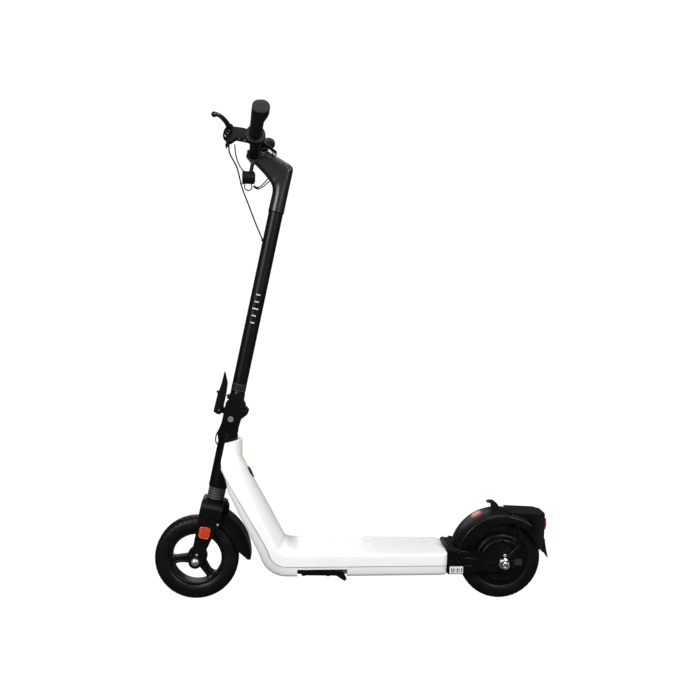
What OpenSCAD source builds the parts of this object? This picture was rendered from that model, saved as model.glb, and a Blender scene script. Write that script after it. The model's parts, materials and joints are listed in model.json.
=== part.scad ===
// Electric kick scooter: folding stem, sprung front fork, hub motor in the rear wheel.
// +X is forward, +Y the rider's left, +Z up. The origin is on the ground, under the
// middle of the overall length and width.

/* [Overall] */
// Distance between the two axles
wheelbase = 749; // [700:1:900]
// Outside diameter of both tyres
wheel_d = 203; // [165:1:245]
// How far the mud flap's tip stands behind the rear axle
tail_overhang = 123.5; // [120:0.5:150]
// Lean of the steering axis from upright
rake = 11.13; // [9:0.01:13]
// Distance from the steering axis forward to the front axle
axle_offset = 13.7; // [10:0.1:17]

/* [Wheels] */
// Width of both tyres
tyre_w = 48; // [40:0.5:50]
// Radius where the front tyre sits on its rim
rim_r = 66; // [60:0.5:70]
// Number of swept spokes in the front rim
spokes = 3; // [3:1:5]
// Radius of the axles
axle_r = 5; // [4:0.1:6]

/* [Deck] */
// Deck width where the down tube meets it
deck_w = 166; // [138:1:200]
// Deck width at its rear end
deck_w_rear = 146; // [130:1:175]
// Height of the deck's tread above the axles
deck_rise = 27.2; // [24:0.1:32]
// Height of the shell's side from its lower edge to the tread
fascia_h = 27.2; // [24:0.1:32]
// Depth of the bottom cover under the shell
cover_h = 26; // [24:0.1:31]
// Thickness of the deck shell's tread and of the cover's floor
skin_t = 4; // [3:0.1:5]

/* [Steering] */
// Length of the head tube
head_len = 95; // [80:1:114]
// Outside radius of the head tube
head_r = 22.5; // [21:0.1:27]
// Gap between the crown and the head tube, covered by the bellows
bellows_h = 31; // [26:0.5:37]
// Travel of the sprung fork
fork_travel = 12; // [8:0.5:14]
// Outside diameter of the stem tube
stem_d = 35; // [32:0.5:38]
// Length from the fold pivot to the gooseneck's collar
stem_len = 485; // [404:1:582]
// Width of the fold's knuckles
knuckle_w = 44; // [40:0.5:50]

/* [Handlebar] */
// Outside diameter of the handlebar tube
bar_d = 22; // [20:0.1:25]
// Overall width over the grips
bar_w = 460; // [400:1:552]
// Diameter of the grips
grip_d = 31; // [29:0.1:36]

/* [Clearances] */
// Radial clearance of shafts and pins that turn
run_gap = 0.05; // [0.02:0.01:0.09]
// Gap between pieces of different bodies
body_gap = 0.4; // [0.3:0.05:0.6]

/* [Hidden] */
$fn = 64;

// Places that follow from the driving sizes
wheel_r = wheel_d / 2;
overall = wheel_r + wheelbase + tail_overhang;
front_x = overall / 2 - wheel_r;
rear_x = front_x - wheelbase;
axle_w = (wheel_r - axle_offset * sin(rake)) / cos(rake);
ground_x = front_x - axle_offset * cos(rake) + axle_w * sin(rake);

// Heights along the steering axis, from the ground up
tyre_gap = 6;
crown_h = 42;
crown_w0 = axle_w + wheel_r + tyre_gap;
crown_w1 = crown_w0 + crown_h;
head_w0 = crown_w1 + bellows_h;
head_w1 = head_w0 + head_len;
pivot_u = -27;
pivot_w = head_w1 + 99;
stem_w0 = pivot_w + 37;
neck_w = pivot_w + stem_len;
clamp_u = 77;
clamp_w = neck_w + 118;

// Heights of the deck
tread_z = wheel_r + deck_rise;
seam_z = tread_z - fascia_h;
under_z = seam_z - cover_h;

// Steering parts
steerer_r = 15;
stanchion_r = 12;
bearing_h = 8;
stem_r = stem_d / 2;
stem_wall = 2.5;
knuckle_r = 8;
hinge_pin_r = 3;
leg_y0 = tyre_w / 2 + 9;
leg_t = 15;
leg_y1 = leg_y0 + leg_t;

// Deck and down tube
deck_x0 = rear_x + 141.5;
bend_r = 58;
tube_tilt = 62.3;
tube_top = at(-2, head_w1 - 40);
tube_run = (tube_top[1] - seam_z) / tan(tube_tilt);
bend_x = tube_top[0] - tube_run;
bend_t = bend_r * tan(tube_tilt / 2);
bay_x0 = deck_x0 + 20;
bay_x1 = bend_x - bend_t - 14;
bay_w = 104;
stand_x = bend_x - 79.5;
stand_z = under_z + 10.5;
notch_x0 = stand_x - 104;
notch_x1 = stand_x + 17;
notch_z = under_z + 18.6;
notch_y = 56;

// Rear end
arm_y0 = 49;
arm_t = 10;
block_x = rear_x + 105.5;
fender_r = wheel_r + 20;
fender_t = 3;
fender_y = 46;
tail_y = 40;
tail_x = rear_x - tail_overhang + 10;
tail_z = wheel_r + 118;
motor_r = 66;
motor_y = 36;
motor_axle_r = 6;
disc_r = 60;
disc_y = -39;

// A point of the steering frame, u forward of the axis and w along it, as world [x, z]
function at(u, w) = [ground_x + u * cos(rake) - w * sin(rake), u * sin(rake) + w * cos(rake)];

module steer() translate([ground_x, 0, 0]) rotate([0, -rake, 0]) children();
module front_wheel_at() translate([front_x, 0, wheel_r]) rotate([-90, 0, 0]) children();
module rear_wheel_at() translate([rear_x, 0, wheel_r]) rotate([-90, 0, 0]) children();
// Extrudes an outline drawn in x and z over y from y0 to y1
module across(y0, y1) translate([0, y1, 0]) rotate([90, 0, 0]) linear_extrude(y1 - y0) children();
// A cylinder along y
module y_rod(u, w, r, y0, y1) translate([u, y0, w]) rotate([-90, 0, 0]) cylinder(r = r, h = y1 - y0);
module ring(r0, r1, h) difference() {
    cylinder(r = r1, h = h);
    translate([0, 0, -1]) cylinder(r = r0, h = h + 2);
}
module both_sides() {
    children();
    mirror([0, 1, 0]) children();
}
// A rod between two points
module rod(a, b, r) {
    d = b - a;
    translate(a) rotate([0, acos(d[2] / norm(d)), atan2(d[1], d[0])]) cylinder(r = r, h = norm(d));
}

// A tube swept along a list of points with a round section
function unit(v) = v / norm(v);
function side_of(d) = unit(cross(d, abs(d[1]) > 0.9 ? [1, 0, 0] : [0, 1, 0]));
module tube_along(pts, r, sides = 8) {
    n = len(pts);
    dirs = [for (i = [0:n - 1]) unit(pts[min(i + 1, n - 1)] - pts[max(i - 1, 0)])];
    rings = [for (i = [0:n - 1]) let (a = side_of(dirs[i]), b = cross(dirs[i], a))
        for (k = [0:sides - 1]) pts[i] + r * (a * cos(360 * k / sides) + b * sin(360 * k / sides))];
    walls = [for (i = [0:n - 2]) for (k = [0:sides - 1]) let (p = i * sides, q = (k + 1) % sides)
        each [[p + k, p + q, p + sides + q], [p + k, p + sides + q, p + sides + k]]];
    polyhedron(rings, concat(walls, [[for (k = [sides - 1:-1:0]) k]],
        [[for (k = [0:sides - 1]) (n - 1) * sides + k]]));
}
// Points on a smooth curve through the given ones, m to each stretch
function spline(p, m) = [for (i = [0:len(p) - 2]) for (j = [0:(i == len(p) - 2 ? m : m - 1)])
    let (t = j / m, a = p[max(i - 1, 0)], b = p[i], c = p[i + 1], d = p[min(i + 2, len(p) - 1)])
    0.5 * (2 * b + (c - a) * t + (2 * a - 5 * b + 4 * c - d) * t * t
        + (3 * b - a - 3 * c + d) * t * t * t)];

// Deck and down tube: stations along the shell's lower edge. Each is
// [x, z, tilt of the section, side height, crown height, half width, roundness].
bend_steps = 7;
half_w = deck_w / 2;
half_w_rear = deck_w_rear / 2;
tube_side = 32;
tube_crown = 21;
tube_skin = 10.5;
rim_low = at(3.5, head_w1 - 30);
rim_mid = at(3.5, head_w1 - 6);
rim_top = at(4, head_w1 + 17);
function on_tube(f) = [bend_x, seam_z] + (bend_t + f * (norm(tube_top - [bend_x, seam_z]) - bend_t))
    * [cos(tube_tilt), sin(tube_tilt)];
deck_stations = [[deck_x0, seam_z, 0, fascia_h, 0.01, half_w_rear - 14, 0],
    [deck_x0 + 5, seam_z, 0, fascia_h, 0.01, half_w_rear - 5, 0],
    [deck_x0 + 16, seam_z, 0, fascia_h, 0.01, half_w_rear, 0],
    [bend_x - bend_t - 30, seam_z, 0, fascia_h, 0.01, half_w, 0],
    [bend_x - bend_t - 14, seam_z, 0, fascia_h, 7, half_w, 0]];
bend_stations = [for (i = [0:bend_steps]) let (f = i / bend_steps, a = tube_tilt * f)
    [bend_x - bend_t + bend_r * sin(a), seam_z + bend_r * (1 - cos(a)), a,
    fascia_h + (tube_side - fascia_h) * f, tube_crown, half_w, 0]];
tube_stations = [[each on_tube(0.35), tube_tilt, 31, 21, half_w - 4, 0],
    [each on_tube(0.7), tube_tilt, 28, 22, half_w - 14, 0.05],
    [each tube_top, tube_tilt, 25, 25, half_w - 30, 0.25]];
rim_stations = [[each rim_low, 70.2, 22, 30.6, 40, 0.6], [each rim_mid, 74.7, 16, 30, 34, 0.9],
    [each rim_top, 78, 13, 28, 32, 1]];
crown_cuts = [-1, -0.92, -0.75, -0.5, -0.25, 0, 0.25, 0.5, 0.75, 0.92, 1];
function crown_at(s, t) = s[3] + s[4] * ((1 - s[6]) * (1 - t * t) + s[6] * sqrt(max(0, 1 - t * t)));
function placed(s, y, n) = [s[0] - n * sin(s[2]), y, s[1] + n * cos(s[2])];
function shell_ring(s) = concat([placed(s, -s[5], 0)],
    [for (t = crown_cuts) placed(s, s[5] * t, crown_at(s, t))], [placed(s, s[5], 0)]);
function cover_ring(s, d) = [placed(s, s[5] - 1.5, 0), placed(s, s[5] - 2, -d + 7),
    placed(s, s[5] - 8, -d), placed(s, -s[5] + 8, -d), placed(s, -s[5] + 2, -d + 7),
    placed(s, -s[5] + 1.5, 0)];
// The cover is deep under the deck and thins out along the down tube
function bend_depth(i) = cover_h + (tube_skin - cover_h) * pow(i / bend_steps, 1.5);
module loft(rings) {
    m = len(rings[0]);
    n = len(rings);
    walls = [for (i = [0:n - 2]) for (k = [0:m - 1]) let (p = i * m, q = (k + 1) % m)
        each [[p + k, p + q, p + m + q], [p + k, p + m + q, p + m + k]]];
    polyhedron([for (r = rings) each r], concat(walls, [[for (k = [m - 1:-1:0]) k]],
        [[for (k = [0:m - 1]) (n - 1) * m + k]]));
}
// Children sit on the down tube's lower face, x up the tube and z towards its crest
module on_top_tube(x) translate([tube_top[0], 0, tube_top[1]]) rotate([0, -tube_tilt, 0])
    translate([x, 0, 0]) children();
crest_n = tube_stations[2][3] + tube_stations[2][4];
port_x = -44;
port_r = 10;
control_x = -190;
// The shell is a hollow casting; its cavity runs from the deck into the down tube
wall_t = 5;
function cavity_ring(s) = concat([placed(s, wall_t - s[5], -1)],
    [for (t = crown_cuts) placed(s, (s[5] - wall_t) * t, crown_at(s, t) - (s[4] > 1 ? wall_t : skin_t))],
    [placed(s, s[5] - wall_t, -1)]);
module cavity() loft([for (s = concat([[bay_x0, seam_z, 0, fascia_h, 0.01, half_w_rear - 3, 0]],
    [deck_stations[3], deck_stations[4]], bend_stations, [tube_stations[0], tube_stations[1]]))
    cavity_ring(s)]);
module head_bore(r, w0, h) steer() translate([0, 0, w0]) cylinder(r = r, h = h);

module frame_shell() color("white") difference() {
    loft([for (s = concat(deck_stations, bend_stations, tube_stations, rim_stations)) shell_ring(s)]);
    cavity();
    head_bore(head_r + run_gap, head_w0 - 60, head_len + 200);
    head_bore(head_r + 2 * body_gap, head_w1 - body_gap, 200);
    on_top_tube(port_x) cylinder(r = port_r + run_gap, h = 90);
}

module bottom_cover() color("lightgrey") difference() {
    loft(concat([for (s = deck_stations) cover_ring(s, cover_h)],
        [for (i = [0:bend_steps]) cover_ring(bend_stations[i], bend_depth(i))],
        [for (s = tube_stations) cover_ring(s, tube_skin)]));
    translate([bay_x0, -bay_w / 2, under_z + skin_t]) cube([bay_x1 - bay_x0, bay_w, cover_h]);
    translate([notch_x0, notch_y, under_z - 5]) cube([notch_x1 - notch_x0, 60, notch_z - under_z + 5]);
    head_bore(head_r + 2, 0, head_w1);
    screw_places() cylinder(r = 3.2, h = 6, center = true);
}
screw_x = [deck_x0 + 40, deck_x0 + 130, deck_x0 + 220, bend_x - bend_t - 10];
module screw_places() for (x = screw_x) both_sides() translate([x, bay_w / 2 - 12, under_z]) children();
module cover_screws() color("dimgrey") screw_places() difference() {
    translate([0, 0, 0.3]) cylinder(r = 3.1, h = 2.6);
    translate([0, 0, -1]) cylinder(r = 1.5, h = 2.6, $fn = 6);
}

module head_tube() color("black") steer() translate([0, 0, head_w0]) difference() {
    cylinder(r = head_r, h = head_len);
    translate([0, 0, -1]) cylinder(r = head_r - 3.5, h = head_len + 2);
}
module headset_bearings() color("silver") steer()
    for (w = [head_w0 + 2, head_w1 - 2 - bearing_h]) translate([0, 0, w])
        ring(steerer_r + run_gap, head_r - 3.5 - run_gap, bearing_h);

module battery_pack() color("darkslategrey")
    translate([bay_x0 + 4, -bay_w / 2 + 3, under_z + skin_t])
        cube([bay_x1 - bay_x0 - 16, bay_w - 6, tread_z - under_z - 2 * skin_t - 2]);
module motor_controller() color("dimgrey") on_top_tube(control_x) translate([4, -28, 0])
    cube([86, 56, 22]);
module charge_port() color("black") on_top_tube(port_x) translate([0, 0, 27]) difference() {
    cylinder(r = port_r, h = crest_n - 28);
    translate([0, 0, 8]) ring(3, port_r - 2, 20);
}
cap_hinge_x = port_r + 5;
module charge_cap() color("black") on_top_tube(port_x) translate([0, 0, crest_n + body_gap]) union() {
    cylinder(r = port_r + 1.5, h = 2.2);
    translate([-cap_hinge_x, -3.5, 0]) cube([6, 7, 2.2]);
    y_rod(-cap_hinge_x, 1.7, 1.6, -3.5, 3.5);
}
// Blank stickers: a yellow one on the down tube and a silver one on the rear arm
module blank_labels() color("gold") {
    on_top_tube(-21) translate([-9, -7, crest_n]) cube([18, 14, 0.5]);
    translate([block_x - 4, arm_y0 + arm_t, under_z + 1.5]) cube([34, 0.5, 18]);
}

// Kickstand, stowed level in the cover's notch; its arm points back from the pivot
stand_y0 = 66;
stand_y1 = 78;
stand_l = 84;
stand_pin_r = 4;
module kickstand_bracket() color("black") difference() {
    union() {
        translate([stand_x - 30, notch_y + body_gap, stand_z - 7])
            cube([notch_x1 - stand_x + 29, stand_y0 - notch_y - 2 * body_gap, 15]);
        y_rod(stand_x, stand_z, stand_pin_r, notch_y + 2, stand_y1 + 3);
        y_rod(stand_x, stand_z, 7, stand_y1 + body_gap, stand_y1 + 3);
    }
    y_rod(stand_x, stand_z, 2, stand_y1 + 1, stand_y1 + 4);
}
module kickstand() color("black") difference() {
    across(stand_y0, stand_y1) union() {
        translate([stand_x, stand_z]) circle(r = 7);
        polygon([[stand_x, stand_z - 7], [stand_x, stand_z + 7], [stand_x - stand_l, stand_z + 6],
            [stand_x - stand_l - 9, stand_z + 3], [stand_x - stand_l - 14, stand_z - 7],
            [stand_x - stand_l - 19, stand_z - 16], [stand_x - stand_l - 14, stand_z - 21],
            [stand_x - stand_l + 6, stand_z - 8], [stand_x - 64, stand_z - 7.5],
            [stand_x - 58, stand_z - 9.5], [stand_x - 52, stand_z - 7.5]]);
    }
    y_rod(stand_x, stand_z, stand_pin_r + run_gap, 0, 200);
}

// Rear frame: a block behind the deck and an arm each side of the wheel
module rear_block() color("black") union() {
    translate([block_x, -arm_y0, under_z]) cube([deck_x0 - block_x, 2 * arm_y0, tread_z + 5 - under_z]);
    across(-arm_y0, arm_y0) polygon([[deck_x0 - 12, tread_z + 4.9], [deck_x0 - 8, tread_z + 9.5],
        [deck_x0 + 5, tread_z + 9.5], [deck_x0 - 2, tread_z + 4.9]]);
}
module arm_plate() across(arm_y0, arm_y0 + arm_t) difference() {
    union() {
        translate([rear_x, wheel_r]) circle(r = 19);
        polygon([[deck_x0 - 3, under_z], [block_x - 8, under_z], [rear_x + 70, wheel_r - 19],
            [rear_x, wheel_r - 19], [rear_x, wheel_r + 19], [rear_x + 60, wheel_r + 26],
            [block_x - 8, tread_z + 4], [deck_x0 - 3, tread_z + 4]]);
    }
    translate([rear_x, wheel_r]) circle(r = motor_axle_r + run_gap);
}
stay_y = arm_y0 + 5;
stay_top = [rear_x - 31, wheel_r + 90];
module rear_arms() color("black") both_sides() union() {
    arm_plate();
    rod([rear_x - 8, stay_y, wheel_r + 12], [rear_x - 36, stay_y, wheel_r + 44], 3);
    rod([rear_x - 36, stay_y, wheel_r + 44], [stay_top[0], stay_y, stay_top[1]], 3);
    translate([rear_x - 36, stay_y, wheel_r + 44]) sphere(r = 3.6);
    y_rod(stay_top[0], stay_top[1], 5, fender_y, stay_y + 3);
}
module rear_axle() color("silver") difference() {
    y_rod(rear_x, wheel_r, motor_axle_r, -arm_y0 - arm_t - 11, arm_y0 + arm_t + 11);
    y_rod(rear_x, wheel_r, 2.5, arm_y0 - 40, arm_y0 + arm_t + 12);
}
module motor_stator() color("peru") rear_wheel_at() translate([0, 0, -18]) difference() {
    cylinder(r = 56, h = 36);
    translate([0, 0, -1]) cylinder(r = motor_axle_r + run_gap, h = 38);
    for (a = [0:20:359]) rotate(a) translate([50, 0, -1]) cylinder(r = 3, h = 38);
}
module rear_axle_nuts() color("silver") both_sides() {
    translate([rear_x, arm_y0 + arm_t, wheel_r]) rotate([-90, 0, 0])
        ring(motor_axle_r + run_gap, 13, 2);
    translate([rear_x, arm_y0 + arm_t + 2, wheel_r]) rotate([-90, 0, 0]) difference() {
        cylinder(r = 10.5, h = 16);
        translate([0, 0, -1]) cylinder(r = motor_axle_r + run_gap, h = 18);
    }
}

// Rear mudguard: a hooped channel, with the lamp housing behind it
module hoop(r0, r1, y, a0, a1) rotate([0, -a0, 0]) rotate([-90, 0, 0])
    rotate_extrude(angle = a0 - a1, $fn = 96) translate([r0, -y]) square([r1 - r0, 2 * y]);
fender_r0 = 97;
module rear_fender() color("black") translate([rear_x, 0, wheel_r]) difference() {
    hoop(fender_r0, fender_r, fender_y, 17, 128);
    hoop(80, fender_r - fender_t, fender_y - fender_t, 10, 140);
}
back_x = tail_x + 4;
back_y = 18;
module tail_housing() color("black") difference() {
    across(-tail_y, tail_y) polygon([[rear_x - 6, tail_z + 3], [back_x + 3, tail_z - 1],
        [back_x, tail_z - 5], [back_x, wheel_r + 16], [rear_x - 98, wheel_r + 16],
        [rear_x - 86, wheel_r + 40], [rear_x - 66, wheel_r + 68], [rear_x - 40, wheel_r + 86]]);
    translate([rear_x, 0, wheel_r]) hoop(60, fender_r + 0.2, fender_y + 1, -30, 128.5);
    rear_wheel_at() cylinder(r = wheel_r + 6.5, h = 2 * tail_y - 6, center = true);
    for (s = [1, -1]) linear_extrude(tail_z + 20) polygon([[back_x - 1, s * (back_y - 1)],
        [back_x - 1, s * (tail_y + 1)], [back_x + 19, s * (tail_y + 1)]]);
    across(-tail_y + 3, tail_y - 3) polygon([[rear_x - 60, tail_z - 2], [back_x + 22, tail_z - 4],
        [back_x + 22, wheel_r + 20], [rear_x - 60, wheel_r + 40]]);
    across(-back_y + 3, back_y - 3) polygon([[rear_x - 60, tail_z - 2], [back_x + 4, tail_z - 5],
        [back_x + 4, wheel_r + 30], [rear_x - 60, wheel_r + 60]]);
}
module tail_lens() color("darkred") across(-17, 17) polygon([[back_x - 0.1, tail_z - 16],
    [back_x - 4, tail_z - 17], [back_x - 5, tail_z - 33], [back_x - 2.5, tail_z - 45],
    [back_x - 0.1, tail_z - 46]]);
module fender_reflector() color("red") translate([rear_x, 0, wheel_r]) difference() {
    hoop(fender_r + 0.1, fender_r + 2.2, 20, 54, 68);
    hoop(fender_r - 3, fender_r + 3, 8, 50, 52);
}
module mud_flap() color("black") intersection() {
    across(-30, 30) polygon([[back_x - 0.2, wheel_r + 50], [back_x - 2.4, wheel_r + 50],
        [back_x - 4, wheel_r + 38], [back_x - 8, wheel_r + 18], [tail_x - 10, wheel_r - 2],
        [tail_x - 7.4, wheel_r + 2], [back_x - 4, wheel_r + 17], [back_x - 0.2, wheel_r + 37]]);
    translate([tail_x - 20, 0, 0]) rotate([90, 0, 90]) linear_extrude(40) polygon([
        [-17, wheel_r + 60], [-17, wheel_r + 14], [-10, wheel_r - 3], [10, wheel_r - 3],
        [17, wheel_r + 14], [17, wheel_r + 60]]);
}
hook_x = rear_x + 13;
hook_z = wheel_r + fender_r;
module fold_hook() color("black") difference() {
    across(-9, 9) polygon([[hook_x - 12, hook_z - 4], [hook_x - 9, hook_z + 6], [hook_x - 4, hook_z + 14],
        [hook_x + 3, hook_z + 19.5], [hook_x + 10, hook_z + 21.5], [hook_x + 17, hook_z + 21],
        [hook_x + 23, hook_z + 18], [hook_x + 22, hook_z + 16.4], [hook_x + 15, hook_z + 16],
        [hook_x + 10.5, hook_z + 12], [hook_x + 9.5, hook_z + 6], [hook_x + 12, hook_z - 4]]);
    rear_wheel_at() cylinder(r = fender_r + 0.1, h = 40, center = true);
}
// The caliper grips the disc behind the axle, on the right arm's inner face
module brake_caliper() color("dimgrey") translate([rear_x, 0, wheel_r]) rotate([0, -35, 0])
    difference() {
        translate([48, -arm_y0, -14]) cube([20, 16, 28]);
        translate([40, disc_y - 1.4, -20]) cube([disc_r - 38, 2.8, 40]);
        translate([30, disc_y, -20]) cube([26, 20, 40]);
    }

// Rear wheel
module motor_shell() color("dimgrey") rear_wheel_at() translate([0, 0, -tyre_w / 2])
    ring(motor_r - 5, motor_r, tyre_w);
module motor_covers() color("black") both_sides() rear_wheel_at() difference() {
    union() {
        translate([0, 0, tyre_w / 2]) cylinder(r = motor_r - 3, h = 4);
        translate([0, 0, tyre_w / 2 + 4]) cylinder(r = motor_r - 12, h = motor_y - tyre_w / 2 - 4);
    }
    translate([0, 0, -1]) cylinder(r = motor_axle_r + run_gap, h = 80);
}
tread_flat = 10;
module tyre(r0) {
    c = tyre_w / 2;
    rotate_extrude($fn = 96) polygon([[r0, -c + 4], [r0 + 8, -c], [wheel_r - 16, -c],
        [wheel_r - 5, -c + 4], [wheel_r - 1.2, -c + 9], [wheel_r, -tread_flat], [wheel_r, tread_flat],
        [wheel_r - 1.2, c - 9], [wheel_r - 5, c - 4], [wheel_r - 16, c], [r0 + 8, c], [r0, c - 4]]);
}
module rear_tyre() color("black") rear_wheel_at() tyre(motor_r);
module motor_magnets() color("silver") rear_wheel_at() translate([0, 0, -19]) ring(57, motor_r - 5, 38);
module brake_disc() color("silver") translate([rear_x, disc_y, wheel_r]) rotate([-90, 0, 0])
    difference() {
        translate([0, 0, -1]) cylinder(r = disc_r, h = 2);
        translate([0, 0, -4]) cylinder(r = 18, h = 8);
        for (a = [0:30:359]) rotate(a) translate([38, 0, -4]) cylinder(r = 6, h = 8);
    }

// Steering
module steerer_tube() color("grey") steer() translate([0, 0, head_w0 + 1]) ring(
    stanchion_r + run_gap, steerer_r, head_len + 12);
module hinge_outline() polygon([[-20, head_w1 + 34], [-19.5, pivot_w - 42], [-20.7, pivot_w - 29],
    [-22.5, pivot_w - 17.5], [-32, pivot_w - 7], [pivot_u, pivot_w], [-16.4, pivot_w + 8],
    [-3, pivot_w + 19.5], [16, pivot_w + 20.5], [22, pivot_w + 14], [22.5, pivot_w - 36],
    [26, pivot_w - 54], [26.5, pivot_w - 64], [22.3, head_w1 + 22]]);
latch_u = 35;
latch_w = pivot_w - 8;
module hinge_base() color("black") steer() difference() {
    union() {
        translate([0, 0, head_w1 + 0.6]) cylinder(r = head_r, h = 38);
        across(-knuckle_w / 2, knuckle_w / 2) hinge_outline();
        y_rod(pivot_u, pivot_w, knuckle_r, -knuckle_w / 2, knuckle_w / 2);
        translate([18, -8, latch_w - 7]) cube([latch_u - 18, 16, 14]);
        y_rod(latch_u, latch_w, 7, -8, 8);
    }
    y_rod(pivot_u, pivot_w, knuckle_r + body_gap, -11.4, 11.4);
    y_rod(pivot_u, pivot_w, hinge_pin_r + run_gap, -60, 60);
    y_rod(latch_u, latch_w, 2.5 + run_gap, -60, 60);
    y_rod(2.5, pivot_w - 22.5, 4 + run_gap, -60, 60);
    translate([0, 0, head_w0]) cylinder(r = steerer_r + run_gap, h = head_len + 13 + body_gap);
}
// The fold's pivot pin, the latch's pin and the cross bolt that clamps the steerer
module hinge_pins() color("silver") steer() {
    y_rod(pivot_u, pivot_w, hinge_pin_r, -knuckle_w / 2, knuckle_w / 2);
    y_rod(latch_u, latch_w, 2.5, -16, 16);
    y_rod(2.5, pivot_w - 22.5, 4, -knuckle_w / 2, knuckle_w / 2);
    y_rod(2.5, pivot_w - 22.5, 6.8, knuckle_w / 2, knuckle_w / 2 + 3);
    y_rod(2.5, pivot_w - 22.5, 6.8, -knuckle_w / 2 - 3, -knuckle_w / 2);
}
loop_pts = [for (p = [[24, 4, 44], [27.5, 4, 36], [29.5, 4, 24], [27, 4, 12], [21.5, 4, 6]])
    [p[0], p[1], head_w1 + p[2]]];
module loop_cable() color("black") steer() tube_along(spline(loop_pts, 3), 1.3);

// Fork
module fork_crown() color("black") steer() difference() {
    translate([-25.5, 0, 0]) rotate([90, 0, 90]) linear_extrude(54.5) polygon([
        [-leg_y1, crown_w0], [-leg_y1, crown_w1 - 14], [-leg_y1 + 6, crown_w1 - 8],
        [-24, crown_w1], [24, crown_w1], [leg_y1 - 6, crown_w1 - 8], [leg_y1, crown_w1 - 14],
        [leg_y1, crown_w0]]);
    translate([-60, -leg_y0 + 2, 0]) cube([120, 2 * leg_y0 - 4, crown_w0 + 7]);
}
// The inner tube that slides in the steerer on the crown's spring
module fork_stanchion() color("silver") steer() translate([0, 0, crown_w1])
    cylinder(r = stanchion_r, h = bellows_h + 40 + fork_travel);
leg_front = 26.5;
module leg_plate() across(leg_y0, leg_y1) difference() {
    union() {
        translate([axle_offset, axle_w]) circle(r = 16.2);
        polygon([[-25.5, crown_w0 - 0.01], [29, crown_w0 - 0.01], [leg_front, crown_w0 - 38],
            [leg_front, axle_w + 12], [axle_offset, axle_w - 12], [-2.2, axle_w + 2],
            [-5.7, axle_w + 31], [-14, crown_w0 - 43]]);
    }
    translate([axle_offset, axle_w]) circle(r = axle_r + run_gap);
}
module fork_legs() color("black") steer() both_sides() leg_plate();
spring_turns = 6;
spring_w0 = head_w0 + 41.6 + fork_travel;
spring_w1 = head_w0 + head_len + 11.4;
spring_pts = [for (i = [0:12 * spring_turns]) let (a = 30 * i)
    [9 * cos(a), 9 * sin(a), spring_w0 + (spring_w1 - spring_w0) * i / (12 * spring_turns)]];
module fork_spring() color("silver") steer() tube_along(spring_pts, 1.5);
ribs = 5;
module fork_bellows() color("dimgrey") steer() difference() {
    translate([0, 0, crown_w1 + 0.2]) rotate_extrude() polygon(concat([[0, 0]],
        [for (i = [0:2 * ribs]) [i % 2 == 0 ? 17.5 : 21.5, i * (bellows_h - 0.4) / (2 * ribs)]],
        [[0, bellows_h - 0.4]]));
    translate([0, 0, crown_w1 - 5]) cylinder(r = 15, h = bellows_h + 10);
}
module front_mudguard() color("black") union() {
    translate([front_x, 0, wheel_r]) difference() {
        hoop(98, 131.5, 29, 120, 180);
        hoop(80, 128.5, 26, 100, 190);
        across(-40, 40) polygon([[-94.7, 25.4], [-124, -0.1], [-124, -20], [-60, -20], [-60, 25.4]]);
    }
    steer() difference() {
        across(-14, 14) polygon([[-25.7, crown_w0 + 12], [-25.7, crown_w1 + 0.2], [-22.3, crown_w1 + 0.2],
            [-22.3, crown_w1 + 3], [-29.8, crown_w1], [-36.8, crown_w1 - 12], [-40, crown_w0 + 12]]);
        translate([axle_offset, 0, axle_w]) rotate([-90, 0, 0]) cylinder(r = 128, h = 60, center = true);
    }
}
// The axle and its two flanged nuts are separate solids of one node
module front_axle() color("silver") {
    y_rod(front_x, wheel_r, axle_r, -leg_y1 - 6, leg_y1 + 6);
    both_sides() translate([front_x, leg_y1, wheel_r]) rotate([-90, 0, 0]) difference() {
        union() {
            cylinder(r = 9.5, h = 1.6);
            cylinder(r = 8, h = 8.5, $fn = 6);
        }
        translate([0, 0, -1]) cylinder(r = axle_r + run_gap, h = 8);
    }
}
module fork_reflectors() color("orangered") steer() both_sides()
    translate([6.5 - 15, leg_y1 + 0.1, axle_w + 57]) cube([30, 3, 32]);

// Front wheel
rim_y = 19;
hub_r = 28;
module front_rim() color("black") front_wheel_at() difference() {
    union() {
        translate([0, 0, -rim_y]) ring(rim_r - 7, rim_r, 2 * rim_y);
        translate([0, 0, -26]) cylinder(r = hub_r, h = 52);
        for (i = [0:spokes - 1]) rotate(360 * i / spokes + 20) spoke_bar();
    }
    translate([0, 0, -40]) cylinder(r = 11, h = 80);
}
// A swept spoke: a bar that leaves the hub off centre
module spoke_bar() translate([10, 2, -11]) rotate(18) cube([rim_r - 14, 18, 22]);
module front_tyre() color("black") front_wheel_at() tyre(rim_r);
module front_bearings() color("silver") front_wheel_at() for (z = [-26, 18]) translate([0, 0, z])
    ring(axle_r + run_gap, 11 - run_gap / 2, 8);

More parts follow.
